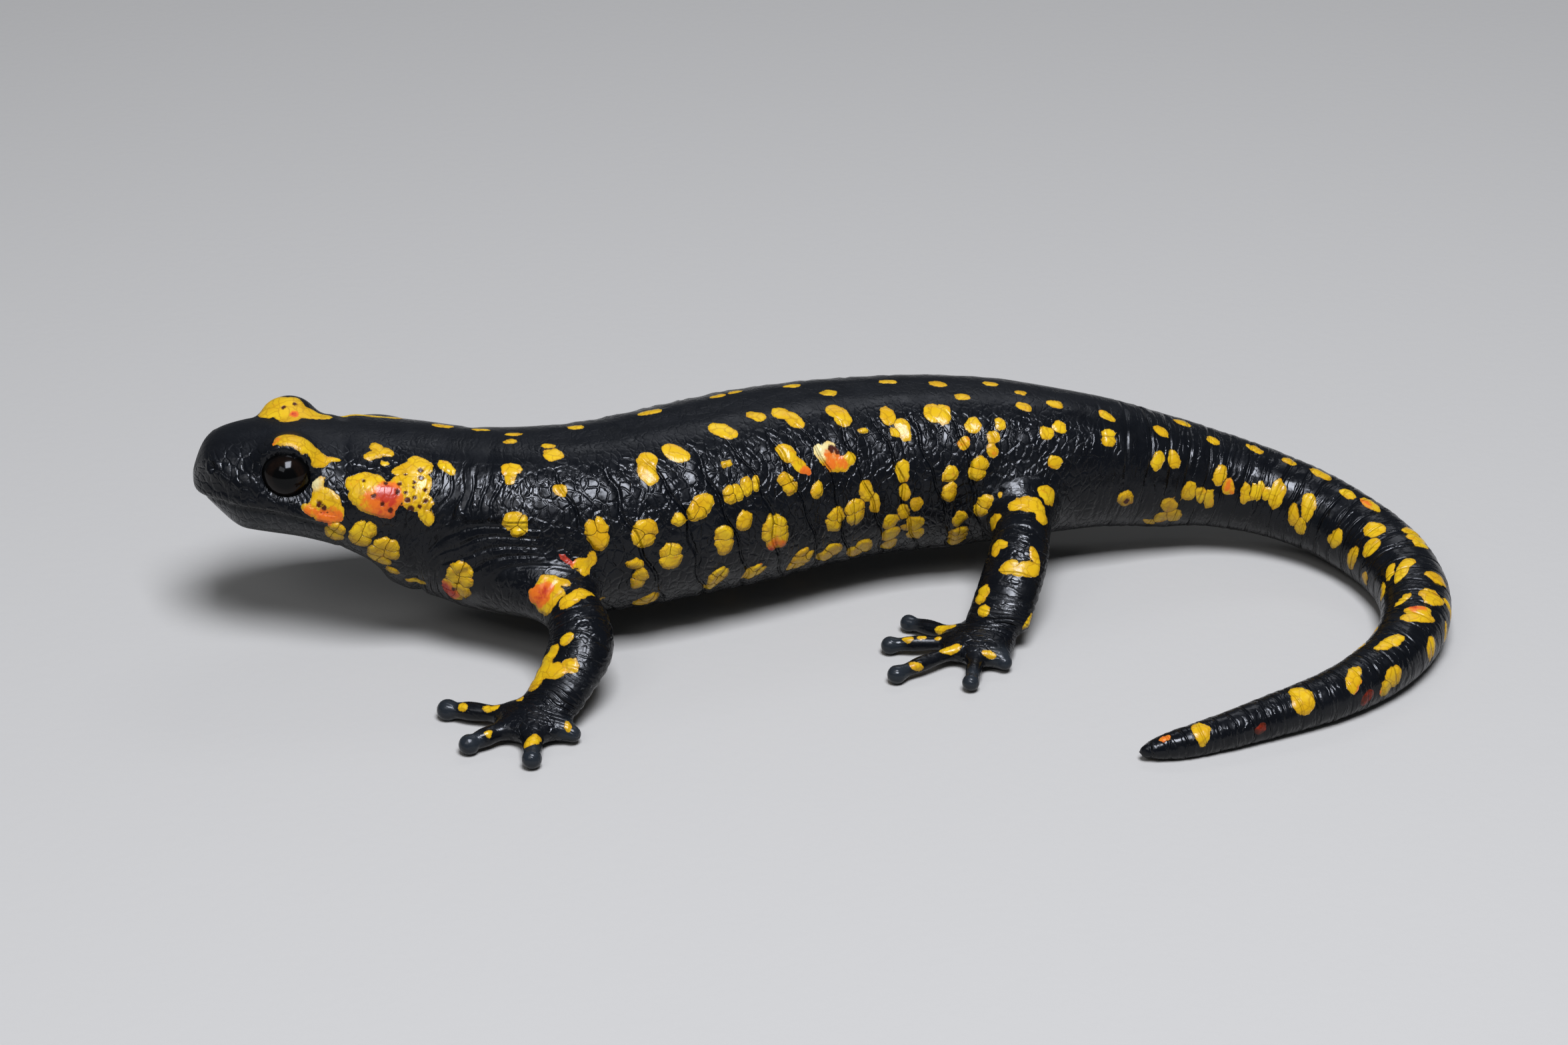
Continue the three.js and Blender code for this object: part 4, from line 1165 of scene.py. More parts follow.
def place_glands(finder):
    random = np.random.default_rng(SEED)
    glands = Glands(finder, random)
    shown = FLAT_SPOTS + RAISED_SPOTS + [row for patch in FLAT_PATCHES for row in patch]
    flat_again = mirrored_rows(FLAT_SPOTS, random, shown)
    raised_again = mirrored_rows(RAISED_SPOTS, random, shown + flat_again)
    for station, angle, *form in FLAT_SPOTS + flat_again:
        glands.flat_spot(finder.on_body(station, angle), *form)
    for station, angle, *form in RAISED_SPOTS + raised_again + belly_rows(random, BELLY_SPOTS):
        glands.raised_spot(finder.on_body(station, angle), *form)
    for rows in FLAT_PATCHES:
        glands.patch([(finder.on_body(*row[:2]), row[2:]) for row in rows], FLAT_RAISE)
    for name, rows in HEAD_PATCHES.items():
        glands.patch([(finder.on_body(*row[:2]), row[2:]) for row in rows], HEAD_RAISE)
        if name in ("left parotoid", "left cheek"):
            # The other side's is alike, a little lower and farther back.
            again = [
                (s + MIRROR_SHIFT, 188 - a, length, width, -tilt)
                for s, a, length, width, tilt in rows
                if a < 40
            ]
            glands.patch([(finder.on_body(*row[:2]), row[2:]) for row in again], HEAD_RAISE)
    glands.group += 1
    for station, angle, radius in SCAR:
        glands.add(glands.oval(finder.on_body(station, angle), 2 * radius, 2 * radius, 0), FLAT_RAISE)
    for name, patches in LIMB_PATCHES.items():
        for rows in patches:
            glands.patch([(finder.on_limb(name, *row[:3]), row[3:]) for row in rows], FLAT_RAISE)
    for name in ("right_front", "right_hind"):
        limb = limbs[name]
        for share in np.linspace(0.08, 0.95, LIMB_SPOTS):
            i = int(share * (limb.SAMPLES - 1))
            turn = math.radians(random.uniform(20, 160))
            way = limb.axes[1][i] * math.cos(turn) + limb.axes[2][i] * math.sin(turn)
            vertex = finder.tree.find(limb.path[i] + way * 3)[1]
            form = (random.uniform(1.6, 2.8), random.uniform(1.3, 2), random.uniform(-80, 80))
            glands.flat_spot(finder.frame_at(vertex, limb.rearward), *form)
        for path, radii in limb.digits[1:]:
            middle = path[9] + np.array((0, 0, radii[9]))
            glands.flat_spot(finder.frame_at(finder.tree.find(middle)[1], limb.rearward), 1.6, 1.1, 0)
    return glands


def patch_field(finder, places):
    """For each vertex the strongest patch there. A patch has its level inside and fades at its radius."""
    field = np.zeros(len(finder.at.points))
    for place, radius, level in places:
        point, out = finder.settle(place)
        found = finder.vertices_near(point, out, radius * 1.6)
        gap = np.linalg.norm(finder.at.points[found] - point, axis=1) / radius
        field[found] = np.maximum(field[found], level * ramp(gap, 1.4, 0.5))
    return field


def warm_patches(finder):
    places = [(finder.on_body(s, a)[0], radius, level) for s, a, radius, level in WARM_PATCHES]
    places += [
        (finder.on_body(s + MIRROR_SHIFT, 180 - a)[0], radius, level)
        for s, a, radius, level in WARM_PATCHES
        if a < 30 and s < 24
    ]
    for name, rows in LIMB_WARM_PATCHES.items():
        places += [(finder.on_limb(name, *row[:3])[0], row[3], row[4]) for row in rows]
    return patch_field(finder, places)


# Cream of the palest glands by the scar, and a painted highlight on the top of the left cheek's patch.
def cream_and_highlight_patches(finder):
    places = [(finder.on_body(s, a)[0], radius, level) for s, a, radius, level in CREAM_AND_HIGHLIGHT_PATCHES]
    return patch_field(finder, places)


def pore_depth(finder):
    """How far each vertex is inside a pore, in mm."""
    field = np.full(len(finder.at.points), -1.0)
    both = PORES + [(s + MIRROR_SHIFT, 180 - a, radius) for s, a, radius in PORES if s < 27 and a < 60]
    for station, angle, radius in both:
        point, out = finder.settle(finder.on_body(station, angle)[0])
        found = finder.vertices_near(point, out, radius + 0.8)
        inside = radius - np.linalg.norm(finder.at.points[found] - point, axis=1)
        field[found] = np.maximum(field[found], inside)
    return field


def lie_of_skin(at):
    """Coordinates in mm along and round the body or limb, for wrinkles that follow it."""
    turn = np.radians((at.angles + 90) % 360)
    along = np.where(at.on_body > 0.5, at.stations, 300 + at.limb_reach)
    around = np.where(at.on_body > 0.5, turn * outline_at(at.stations)[:, 0], np.radians(at.limb_turn) * 3)
    return np.stack([along, around, np.zeros(len(along))], axis=1)


def neck_lines(at):
    """Fine upright lines on the sides of the neck."""
    count = (at.stations - 0.02 * at.rise + wander_of(at)) / 1.25
    strength = 0.5 * bump(at.stations, 30, 6) * ramp(at.rise, -50, -25) * ramp(at.rise, 64, 46)
    return count, strength * at.on_body * ramp(at.limb_gap, 3, 6)


def shoulder_lines(at):
    """Fine arcs round the roots of the arms."""
    count = (at.limb_gap + 0.4 * wander_of(at)) / 0.8
    strength = 0.75 * bump(at.stations, 33, 9) * ramp(at.limb_gap, 6.5, 4) * ramp(at.limb_gap, 0.1, 0.8)
    return count, strength * ramp(at.rise, 35, 15) * (at.stations < 50)


def limb_lines(at, spacing, share, spread):
    """Creases across the limbs, that far apart, about that share of the way along them."""
    count = (at.limb_reach + 0.3 * np.sin(np.radians(at.limb_turn) * 2 + at.limb_reach)) / spacing
    return count, 0.5 * bump(at.limb_share, share, spread) * ramp(at.on_body, 0.5, 0.1)


def furrows(at):
    """Count, strength and width of the strongest set of grooves at each place."""
    rings, ring_strength_here = ring_lines(at)
    sets = [  # the lines, and the width of a groove as a share of their spacing
        (rib_lines(at), 0.07),
        ((rings, 0.6 * ring_strength_here), 0.12),
        (neck_lines(at), 0.26),
        (shoulder_lines(at), 0.3),
        (limb_lines(at, 1.6, 0.7, 0.15), 0.12),
        (limb_lines(at, 0.55, 1.05, 0.08), 0.3),
    ]
    counts = np.stack([count for (count, _), _ in sets])
    strengths = np.stack([strength for (_, strength), _ in sets])
    best = strengths.argmax(axis=0)
    ordered = np.sort(strengths, axis=0)
    # Two sets fade out where they meet.
    strength = np.clip(ordered[-1] - 1.5 * ordered[-2], 0, 1)
    widths = np.array([width for _, width in sets])
    return np.stack([np.choose(best, counts), strength, widths[best]], axis=1)


def wrinkle_strength(at):
    s = at.stations
    strength = 0.8 + 0.2 * ramp(s, 22, 27)
    strength = strength * (1 - 0.8 * ramp(at.rise, 48, 72) * ramp(s, 110, 96))
    strength = strength * ramp(np.abs((at.angles - 90) % 360 - 180), 1.5, 6)
    strength = np.where(at.on_body > 0.5, strength, 0.9 - 0.6 * ramp(at.digit_gap, 0.6, 0.1))
    return strength * ramp(np.abs(at.on_body - 0.5), 0.1, 0.4)


def ring_strength(at):
    """1 where fine creases ring the body or limb: the neck, the tail and the limbs' bends."""
    s = at.stations
    rings = bump(s, 29, 5) * ramp(at.rise, -60, -30) + ramp(s, 92, 102)
    bends = bump(at.limb_share, 0.5, 0.2) + bump(at.limb_share, 0.95, 0.2)
    return np.clip(np.where(at.on_body > 0.5, rings, bends), 0, 1)


def pale_skin(at):
    """Up to 1 on the grey parts: the tips of the digits, and less on the lips' edge and the underside of
    throat and trunk.
    """
    s = at.stations
    tips = np.zeros(len(s))
    for limb in limbs.values():
        for path, _ in limb.digits:
            gap = np.linalg.norm(at.points - path[-1], axis=1)
            tips = np.maximum(tips, ramp(gap, 2.2, 0.9))
    jaw = 0.5 * ramp(s, 15, 11) * ramp(at.over - mouth_at(s)[:, 0], 0.2, -0.5)
    belly = 0.35 * ramp(at.rise, -50, -75) * (s < 100)
    return np.maximum(tips, np.maximum(jaw, belly) * at.on_body)


def satin_skin(at):
    """1 on the drier skin of the head's top and the middle of the back."""
    s = at.stations
    head = ramp(s, 22, 14) * ramp(at.rise, 38, 60)
    back = 0.5 * ramp(at.rise, 55, 80) * ramp(s, 110, 90)
    return np.maximum(head, back) * at.on_body


def write_numbers(mesh, name, values):
    kinds = {1: ("FLOAT", "value"), 3: ("FLOAT_VECTOR", "vector"), 4: ("FLOAT_COLOR", "color")}
    kind, field = kinds[values.shape[1] if values.ndim > 1 else 1]
    attribute = mesh.attributes.new(name, kind, "POINT")
    attribute.data.foreach_set(field, values.astype(np.float32).ravel())


def is_fine_part(at, depth):
    """The head, the digits and the markings need the finer mesh."""
    return (at.stations < 22) | (at.digit_gap < 0.6) | (depth.max(axis=1) > -0.3)


def make_skin(cell):
    """The whole skin: its form, then its folds and raised glands, and what its colours read."""
    skin = flesh_block(cell)
    mesh = skin.data
    stations = draw_to_form(mesh, 4, soften=8)
    at = SkinMap(mesh, stations)
    depth, _ = place_glands(SkinFinder(mesh, at)).fields()
    subdivide_where(mesh, is_fine_part(at, depth))
    stations = draw_to_form(mesh, 3)
    at = SkinMap(mesh, stations)
    finder = SkinFinder(mesh, at)
    depth, raised = place_glands(finder).fields()
    warmth = warm_patches(finder)
    pores = pore_depth(finder)
    nostrils, rims = (
        patch_field(finder, [(finder.on_body(*place)[0], radius, 1) for place in NOSTRILS])
        for radius in (NOSTRIL_RADIUS, RIM_RADIUS)
    )
    ordered = np.sort(depth, axis=1)
    top = ordered[:, 3]
    crease = ramp(top - ordered[:, 2], 0.3, 0) * ramp(top, -0.1, 0.25)
    height = head_shape(at) + body_folds(at) + limb_folds(at)
    height = height + raised * (GLAND_RAISE * ramp(top, -0.15, 0.5) - 0.06 * crease)
    height = height + 0.05 * noise_at(at.points, 2.6, 1) * at.on_body * ramp(at.stations, 20, 30)
    height = height + 0.14 * rims - 0.75 * nostrils
    points = at.points + at.normals * height[:, None]
    points[:, 2] = np.maximum(points[:, 2], 0)
    set_points(mesh, points)
    mesh.polygons.foreach_set("use_smooth", np.ones(len(mesh.polygons), dtype=bool))
    write_numbers(mesh, "spots", depth)
    write_numbers(mesh, "lie", lie_of_skin(at))
    write_numbers(mesh, "furrows", furrows(at))
    # The cream is in part a painted highlight, on the top of the left cheek's patch.
    numbers = {
        "raised": raised, "warmth": warmth, "cream_and_highlight": cream_and_highlight_patches(finder), "pores": pores, "rims": rims,
        "wrinkle": wrinkle_strength(at), "rings": ring_strength(at), "pale": pale_skin(at),
        "satin": satin_skin(at),
    }
    for name, values in numbers.items():
        write_numbers(mesh, name, values)
    triangles = sum(len(p.vertices) - 2 for p in mesh.polygons)
    if triangles >= MOST_TRIANGLES:
        raise RuntimeError(f"the skin has {triangles} triangles")
    return skin


# Surfaces


MATH = "ShaderNodeMath"
RANGE = "ShaderNodeMapRange"
MIX = "ShaderNodeMix"
NOISE = "ShaderNodeTexNoise"
CELLS = "ShaderNodeTexVoronoi"
ATTRIBUTE = "ShaderNodeAttribute"
SOFT = {"interpolation_type": "SMOOTHSTEP"}


def linear(hex_colour):
    """The linear RGBA of an sRGB colour such as #E9B414."""
    channels = [int(hex_colour[i : i + 2], 16) / 255 for i in (1, 3, 5)]
    return [c / 12.92 if c <= 0.04045 else ((c + 0.055) / 1.055) ** 2.4 for c in channels] + [1.0]


def add(tree, kind, inputs=None, **settings):
    """Adds a node with its settings. An input is given a value, or the node or socket that feeds it."""
    node = tree.nodes.new(kind)
    for name, value in settings.items():
        setattr(node, name, value)
    for key, value in (inputs or {}).items():
        if isinstance(value, bpy.types.Node):
            value = value.outputs[0]
        if isinstance(value, bpy.types.NodeSocket):
            tree.links.new(value, node.inputs[key])
        else:
            node.inputs[key].default_value = value
    return node


def per_mm(size):
    """The scale at which a pattern on coordinates in metres has features of that many mm."""
    return 1 / (size * MM)


def new_material(name):
    material = bpy.data.materials.new(name)
    material.use_nodes = True
    material.node_tree.nodes.clear()
    return material, material.node_tree


def skin_material(look):
    """Amphibian skin under a film of slime: near black and glossy, with yellow poison glands."""
    material, tree = new_material("wet amphibian skin")
    place = add(tree, "ShaderNodeTexCoord").outputs["Object"]
    spots = add(tree, ATTRIBUTE, attribute_name="spots")
    lie = add(tree, ATTRIBUTE, attribute_name="lie").outputs["Vector"]
    at = {
        name: add(tree, ATTRIBUTE, attribute_name=name).outputs["Fac"]
        for name in ("raised", "warmth", "cream_and_highlight", "pores", "wrinkle", "rings", "pale", "satin", "rims")
    }

    # How far inside a gland each place is, in mm, and how near to the crease beside the next gland.
    part = add(tree, "ShaderNodeSeparateColor", {"Color": spots.outputs["Color"]}).outputs
    high_1 = add(tree, MATH, {0: part[0], 1: part[1]}, operation="MAXIMUM")
    low_1 = add(tree, MATH, {0: part[0], 1: part[1]}, operation="MINIMUM")
    high_2 = add(tree, MATH, {0: part[2], 1: spots.outputs["Alpha"]}, operation="MAXIMUM")
    low_2 = add(tree, MATH, {0: part[2], 1: spots.outputs["Alpha"]}, operation="MINIMUM")
    top = add(tree, MATH, {0: high_1, 1: high_2}, operation="MAXIMUM")
    middle = add(tree, MATH, {0: high_1, 1: high_2}, operation="MINIMUM")
    low = add(tree, MATH, {0: low_1, 1: low_2}, operation="MAXIMUM")
    second = add(tree, MATH, {0: middle, 1: low}, operation="MAXIMUM")
    gap = add(tree, MATH, {0: top, 1: second}, operation="SUBTRACT")
    ragged = add(tree, NOISE, {"Vector": place, "Scale": per_mm(0.9), "Detail": 4.0, "Roughness": 0.65})
    ragged = add(
        tree, RANGE, {"Value": ragged, "From Min": 0.3, "From Max": 0.7, "To Min": -0.13, "To Max": 0.13}
    )
    edge = add(tree, MATH, {0: top, 1: ragged}, operation="ADD")
    yellow = add(tree, RANGE, {"Value": edge, "From Min": -0.05, "From Max": 0.05}, **SOFT)
    crease = add(tree, RANGE, {"Value": gap, "From Min": 0.1, "From Max": 0.0}, **SOFT)
    crease = add(tree, MATH, {0: crease, 1: yellow}, operation="MULTIPLY")

    # Yellow: a slow change of tone, fine ochre veins, darker edges, and painted shade in the creases between
    # glands.
    tone = add(tree, NOISE, {"Vector": place, "Scale": per_mm(2.4), "Detail": 3.0})
    tone = add(tree, RANGE, {"Value": tone, "From Min": 0.35, "From Max": 0.65})
    gold = add(tree, MIX, {0: tone, 6: look.yellow, 7: look.yellow_deep}, data_type="RGBA")
    bent = add(tree, NOISE, {"Vector": place, "Scale": per_mm(1.1), "Detail": 2.0}).outputs["Color"]
    bent = add(tree, "ShaderNodeVectorMath", {0: bent, 3: 0.9 * MM}, operation="SCALE")
    bent = add(tree, "ShaderNodeVectorMath", {0: place, 1: bent}, operation="ADD")
    veins = add(tree, CELLS, {"Vector": bent, "Scale": per_mm(1.2)}, feature="DISTANCE_TO_EDGE")
    veins = add(tree, RANGE, {"Value": veins, "From Min": 0.08, "From Max": 0.0, "To Max": 0.6})
    rim = add(tree, RANGE, {"Value": edge, "From Min": 0.22, "From Max": 0.0, "To Max": 0.55})
    # The creases between glands are darkened with the crease colour: painted shade.
    crease_shade = add(tree, MATH, {0: crease, 1: 0.75}, operation="MULTIPLY")

    # Orange and red glands, in patches that are brown where they are warmest, and the dark pores.
    blotch = add(tree, NOISE, {"Vector": place, "Scale": per_mm(0.9), "Detail": 3.0, "Roughness": 0.6})
    blotch = add(
        tree, RANGE, {"Value": blotch, "From Min": 0.3, "From Max": 0.7, "To Min": -0.25, "To Max": 0.25}
    )
    heat = add(tree, MATH, {0: at["warmth"], 1: blotch}, operation="ADD")
    orange = add(tree, RANGE, {"Value": heat, "From Min": 0.12, "From Max": 0.5}, **SOFT)
    red = add(tree, RANGE, {"Value": heat, "From Min": 0.55, "From Max": 0.95}, **SOFT)
    brown = add(tree, RANGE, {"Value": heat, "From Min": 1.0, "From Max": 1.7}, **SOFT)
    frayed = add(tree, MATH, {0: ragged, 1: at["pores"]}, operation="ADD")
    pore = add(tree, RANGE, {"Value": frayed, "From Min": -0.12, "From Max": 0.1}, **SOFT)
    # The cream painted here is in part a painted highlight, on the top of the left cheek's patch.
    paints = [
        (veins, look.ochre), (rim, look.ochre), (crease_shade, look.crease), (at["cream_and_highlight"], look.cream_and_highlight),
        (orange, look.orange), (red, look.red), (brown, look.pore), (pore, look.pore),
    ]
    for share, paint in paints:
        gold = add(tree, MIX, {0: share, 6: gold.outputs[2], 7: paint}, data_type="RGBA")

    # Black: blue-black, greyer on lips, throat and the tips of the digits.
    murk = add(tree, NOISE, {"Vector": place, "Scale": per_mm(3.0), "Detail": 4.0})
    black = add(tree, MIX, {0: murk, 6: look.black, 7: look.black_light}, data_type="RGBA")
    black = add(tree, MIX, {0: at["pale"], 6: black.outputs[2], 7: look.grey}, data_type="RGBA")
    colour = add(tree, MIX, {0: yellow, 6: black.outputs[2], 7: gold.outputs[2]}, data_type="RGBA")

    # Wrinkles: flat cells of 0.8 mm along the body and 1.3 mm round it, and rings about 0.6 mm apart.
    stir = add(tree, NOISE, {"Vector": place, "Scale": per_mm(1.6), "Detail": 3.0}).outputs["Color"]
    stir = add(tree, "ShaderNodeVectorMath", {0: stir, 3: 1.1}, operation="SCALE")
    flow = add(tree, "ShaderNodeVectorMath", {0: lie, 1: stir}, operation="ADD")
    flow_cells = add(tree, "ShaderNodeMapping", {"Vector": flow, "Scale": (1 / 0.8, 1 / 1.3, 1)})
    cells = add(tree, CELLS, {"Vector": flow_cells, "Scale": 1.0}, feature="DISTANCE_TO_EDGE")
    cells = add(tree, RANGE, {"Value": cells, "From Min": 0.0, "From Max": 0.2}, **SOFT)
    flow_rings = add(tree, "ShaderNodeMapping", {"Vector": flow, "Scale": (1 / 0.6, 1 / 5, 1)})
    rings = add(tree, NOISE, {"Vector": flow_rings, "Scale": 1.0, "Detail": 1.0})
    rings = add(tree, RANGE, {"Value": rings, "From Min": 0.38, "From Max": 0.55}, **SOFT)
    wrinkles = add(tree, MIX, {0: at["rings"], 2: cells, 3: rings}, data_type="FLOAT")
    calm = add(tree, RANGE, {"Value": yellow, "To Min": 0.07, "To Max": 0.015})
    wrinkles = add(tree, MATH, {0: wrinkles, 1: calm}, operation="MULTIPLY")
    wrinkles = add(tree, MATH, {0: wrinkles, 1: at["wrinkle"]}, operation="MULTIPLY")

    # Granules of 0.35 mm all over, and a slow unevenness of 1.5 mm.
    grains = add(tree, CELLS, {"Vector": place, "Scale": per_mm(0.35)}, feature="SMOOTH_F1")
    swells = add(tree, NOISE, {"Vector": place, "Scale": per_mm(1.5), "Detail": 2.0})
    dome = add(tree, RANGE, {"Value": edge, "From Min": -0.08, "From Max": 0.4}, **SOFT)
    dome = add(tree, MATH, {0: dome, 1: at["raised"]}, operation="MULTIPLY")
    crease_raised = add(tree, MATH, {0: crease, 1: at["raised"]}, operation="MULTIPLY")
    lines = add(tree, ATTRIBUTE, attribute_name="furrows").outputs["Vector"]
    lines = add(tree, "ShaderNodeSeparateXYZ", {0: lines}).outputs
    furrow = add(tree, MATH, {0: lines[0], 1: 0.5}, operation="PINGPONG")
    furrow = add(tree, RANGE, {"Value": furrow, "From Min": lines[2], "From Max": 0.0}, **SOFT)
    furrow = add(tree, MATH, {0: furrow, 1: lines[1]}, operation="MULTIPLY")
    height = wrinkles
    reliefs = [
        (grains, -0.012), (furrow, -0.2), (at["rims"], 0.1), (swells, 0.055), (dome, 0.14),
        (crease_raised, -0.09), (pore, -0.04),
    ]
    for relief, rise in reliefs:  # the rise of each, in mm
        height = add(tree, MATH, {0: relief, 1: rise, 2: height}, operation="MULTIPLY_ADD")
    bump_all = add(tree, "ShaderNodeBump", {"Height": height, "Distance": MM, "Strength": 1.0})

    # The film of slime is thinner in some places, and the head's top and back are drier.
    film = add(tree, NOISE, {"Vector": place, "Scale": per_mm(2.0), "Detail": 4.0, "Roughness": 0.65})
    film = add(
        tree, RANGE, {"Value": film, "From Min": 0.35, "From Max": 0.65, "To Min": 0.17, "To Max": 0.33}
    )
    rough = add(tree, MATH, {0: at["satin"], 1: 0.2, 2: film}, operation="MULTIPLY_ADD")
    shader = add(
        tree,
        "ShaderNodeBsdfPrincipled",
        {"Base Color": colour.outputs[2], "Roughness": rough, "IOR": 1.33, "Normal": bump_all},
    )
    add(tree, "ShaderNodeOutputMaterial", {"Surface": shader})
    return material


def eye_material(look):
    """A wet black eyeball: a clear cornea over an iris so dark that it hardly shows."""
    material, tree = new_material("wet cornea over dark iris")
    place = add(tree, "ShaderNodeTexCoord").outputs["Object"]
    off_gaze = add(tree, ATTRIBUTE, attribute_name="off_gaze").outputs["Fac"]
    flecks = add(tree, NOISE, {"Vector": place, "Scale": per_mm(0.4), "Detail": 3.0})
    inner = add(tree, RANGE, {"Value": off_gaze, "From Min": 24.0, "From Max": 30.0})
    outer = add(tree, RANGE, {"Value": off_gaze, "From Min": 52.0, "From Max": 42.0})
    iris = add(tree, MATH, {0: inner, 1: outer}, operation="MULTIPLY")
    iris = add(tree, MATH, {0: iris, 1: flecks}, operation="MULTIPLY")
    colour = add(tree, MIX, {0: iris, 6: look.pupil, 7: look.iris}, data_type="RGBA")
    shader = add(
        tree,
        "ShaderNodeBsdfPrincipled",
        {"Base Color": colour.outputs[2], "Roughness": 0.1, "IOR": 1.24},
    )
    add(tree, "ShaderNodeOutputMaterial", {"Surface": shader})
    return material


def paper_material(look):
    """Matt studio paper: pale, with a faint tooth."""
    material, tree = new_material("matt studio paper")
    place = add(tree, "ShaderNodeTexCoord").outputs["Object"]
    tooth = add(tree, NOISE, {"Vector": place, "Scale": per_mm(1.2), "Detail": 3.0})
    bump_paper = add(tree, "ShaderNodeBump", {"Height": tooth, "Distance": 0.03 * MM, "Strength": 1.0})
    shader = add(
        tree,
        "ShaderNodeBsdfPrincipled",
        {"Base Color": look.floor, "Roughness": 0.9, "Specular IOR Level": 0.2, "Normal": bump_paper},
    )
    add(tree, "ShaderNodeOutputMaterial", {"Surface": shader})
    return material


def make_eye(side, look):
    """A smooth eyeball with the slight bulge of its cornea, in its socket."""
    head = heads[side]
    name = "eyeball_left" if side > 0 else "eyeball_right"
    deselect_all()
    bpy.ops.mesh.primitive_uv_sphere_add(
        segments=64,
        ring_count=32,
        radius=EYE["radius"] * MM,
        location=head.eye * MM,
        rotation=Vector(head.gaze).to_track_quat("Z", "Y").to_euler(),
    )
    eye = bpy.context.object
    eye.name = name
    eye.data.name = name
    bpy.ops.object.transform_apply(location=True, rotation=True, scale=True)
    bpy.ops.object.shade_smooth()
    points = get_points(eye.data)
    ways = unit(points - head.eye)
    off_gaze = np.degrees(np.arccos(np.clip(ways @ head.gaze, -1, 1)))
    bulge = look.cornea_bulge / MM * ramp(off_gaze, 42, 0)
    set_points(eye.data, points + ways * bulge[:, None])
    write_numbers(eye.data, "off_gaze", off_gaze)
    eye.data.materials.append(eye_material(look))
    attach(eye, "root")
    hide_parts("eye_left" if side > 0 else "eye_right")


def from_angles(distance, elevation, azimuth):
    """A place round the animal. Azimuth 0 is on its left side, before the camera."""
    e = math.radians(elevation)
    a = math.radians(azimuth)
    return Vector((math.sin(a) * math.cos(e), -math.cos(a) * math.cos(e), math.sin(e))) * distance


def stand_facing(data, place, aim):
    """Puts a lamp or camera at a place round the aim, turned to face it."""
    holder = bpy.data.objects.new(data.name, data)
    holder.location = (aim + place) * MM
    holder.rotation_euler = place.to_track_quat("Z", "Y").to_euler()
    bpy.context.scene.collection.objects.link(holder)
    return holder


# The settings a user would change, one group for each operator.


class SkinSettings(bpy.types.PropertyGroup):
    cell: bpy.props.FloatProperty(
        name="Cell", description="Size of the skin mesh's cells where it is plain", default=0.6 * MM,
        min=0.4 * MM, max=2 * MM, precision=5, unit="LENGTH",
    )
    black: bpy.props.FloatVectorProperty(
        name="Black", description="Colour of the black skin", default=linear("#050608"), size=4,
        subtype="COLOR",
    )
    black_light: bpy.props.FloatVectorProperty(
        name="Light black", description="Colour of the black skin where it is lighter",
        default=linear("#0D0F13"), size=4, subtype="COLOR",
    )
    grey: bpy.props.FloatVectorProperty(
        name="Grey", description="Colour of the lips and of the digits' tips", default=linear("#1F2327"),
        size=4, subtype="COLOR",
    )
    yellow: bpy.props.FloatVectorProperty(
        name="Yellow", description="Colour of the glands", default=linear("#C6A116"), size=4, subtype="COLOR",
    )
    yellow_deep: bpy.props.FloatVectorProperty(
        name="Deep yellow", description="Colour of the glands where they are deeper in tone",
        default=linear("#BA8D11"), size=4, subtype="COLOR",
    )
    ochre: bpy.props.FloatVectorProperty(
        name="Ochre", description="Colour of the veins and rims in the yellow", default=linear("#91670F"),
        size=4, subtype="COLOR",
    )
    # Painted shade: the dark colour put in the creases between glands.
    crease: bpy.props.FloatVectorProperty(
        name="Crease", description="Colour of the creases between glands", default=linear("#6E4C0E"),
        size=4, subtype="COLOR",
    )
    # Cream of the palest glands, also used for a painted highlight on the left cheek's top.
    cream_and_highlight: bpy.props.FloatVectorProperty(
        name="Cream", description="Colour of the palest glands", default=linear("#D2C692"), size=4,
        subtype="COLOR",
    )
    orange: bpy.props.FloatVectorProperty(
        name="Orange", description="Colour of the orange glands", default=linear("#C6611C"), size=4,
        subtype="COLOR",
    )
    red: bpy.props.FloatVectorProperty(
        name="Red", description="Colour of the reddest glands", default=linear("#A5301E"), size=4,
        subtype="COLOR",
    )
    pore: bpy.props.FloatVectorProperty(
        name="Pore", description="Colour of the parotoid's pores", default=linear("#3E170B"), size=4,
        subtype="COLOR",
    )


class EyeSettings(bpy.types.PropertyGroup):
    pupil: bpy.props.FloatVectorProperty(
        name="Pupil", description="Colour of the pupil and of the eyeball", default=linear("#040404"),
        size=4, subtype="COLOR",
    )
    iris: bpy.props.FloatVectorProperty(
        name="Iris", description="Colour of the iris", default=linear("#170E09"), size=4, subtype="COLOR",
    )
    cornea_bulge: bpy.props.FloatProperty(
        name="Cornea bulge", description="How far the cornea stands out of the eyeball",
        default=0.12 * MM, min=0, max=1 * MM, precision=5, unit="LENGTH",
    )


class StageSettings(bpy.types.PropertyGroup):
    floor: bpy.props.FloatVectorProperty(
        name="Floor", description="Colour of the paper floor", default=linear("#A8A59F"), size=4,
        subtype="COLOR",
    )
    sky: bpy.props.FloatVectorProperty(
        name="Sky", description="Colour of the light from all round", default=linear("#DCE4F0"), size=4,
        subtype="COLOR",
    )
    sky_strength: bpy.props.FloatProperty(
        name="Sky strength", description="Strength of the light from all round", default=0.11, min=0,
    )
    lamp_strength: bpy.props.FloatProperty(
        name="Lamp strength", description="Multiplies the power of every lamp", default=0.9, min=0,
    )


class SALAMANDER_OT_skin(bpy.types.Operator):
    """Makes the salamander's skin, with its folds, glands and colours"""

    bl_idname = "salamander.skin"
    bl_label = "Make Skin"

    def execute(self, context):
        look = context.scene.salamander_skin
        skin = make_skin(look.cell)
        skin.data.materials.append(skin_material(look))
        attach(skin, "root")
        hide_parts(*[name for name in frame["nodes"] if not name.startswith("eye_")])
        return {"FINISHED"}


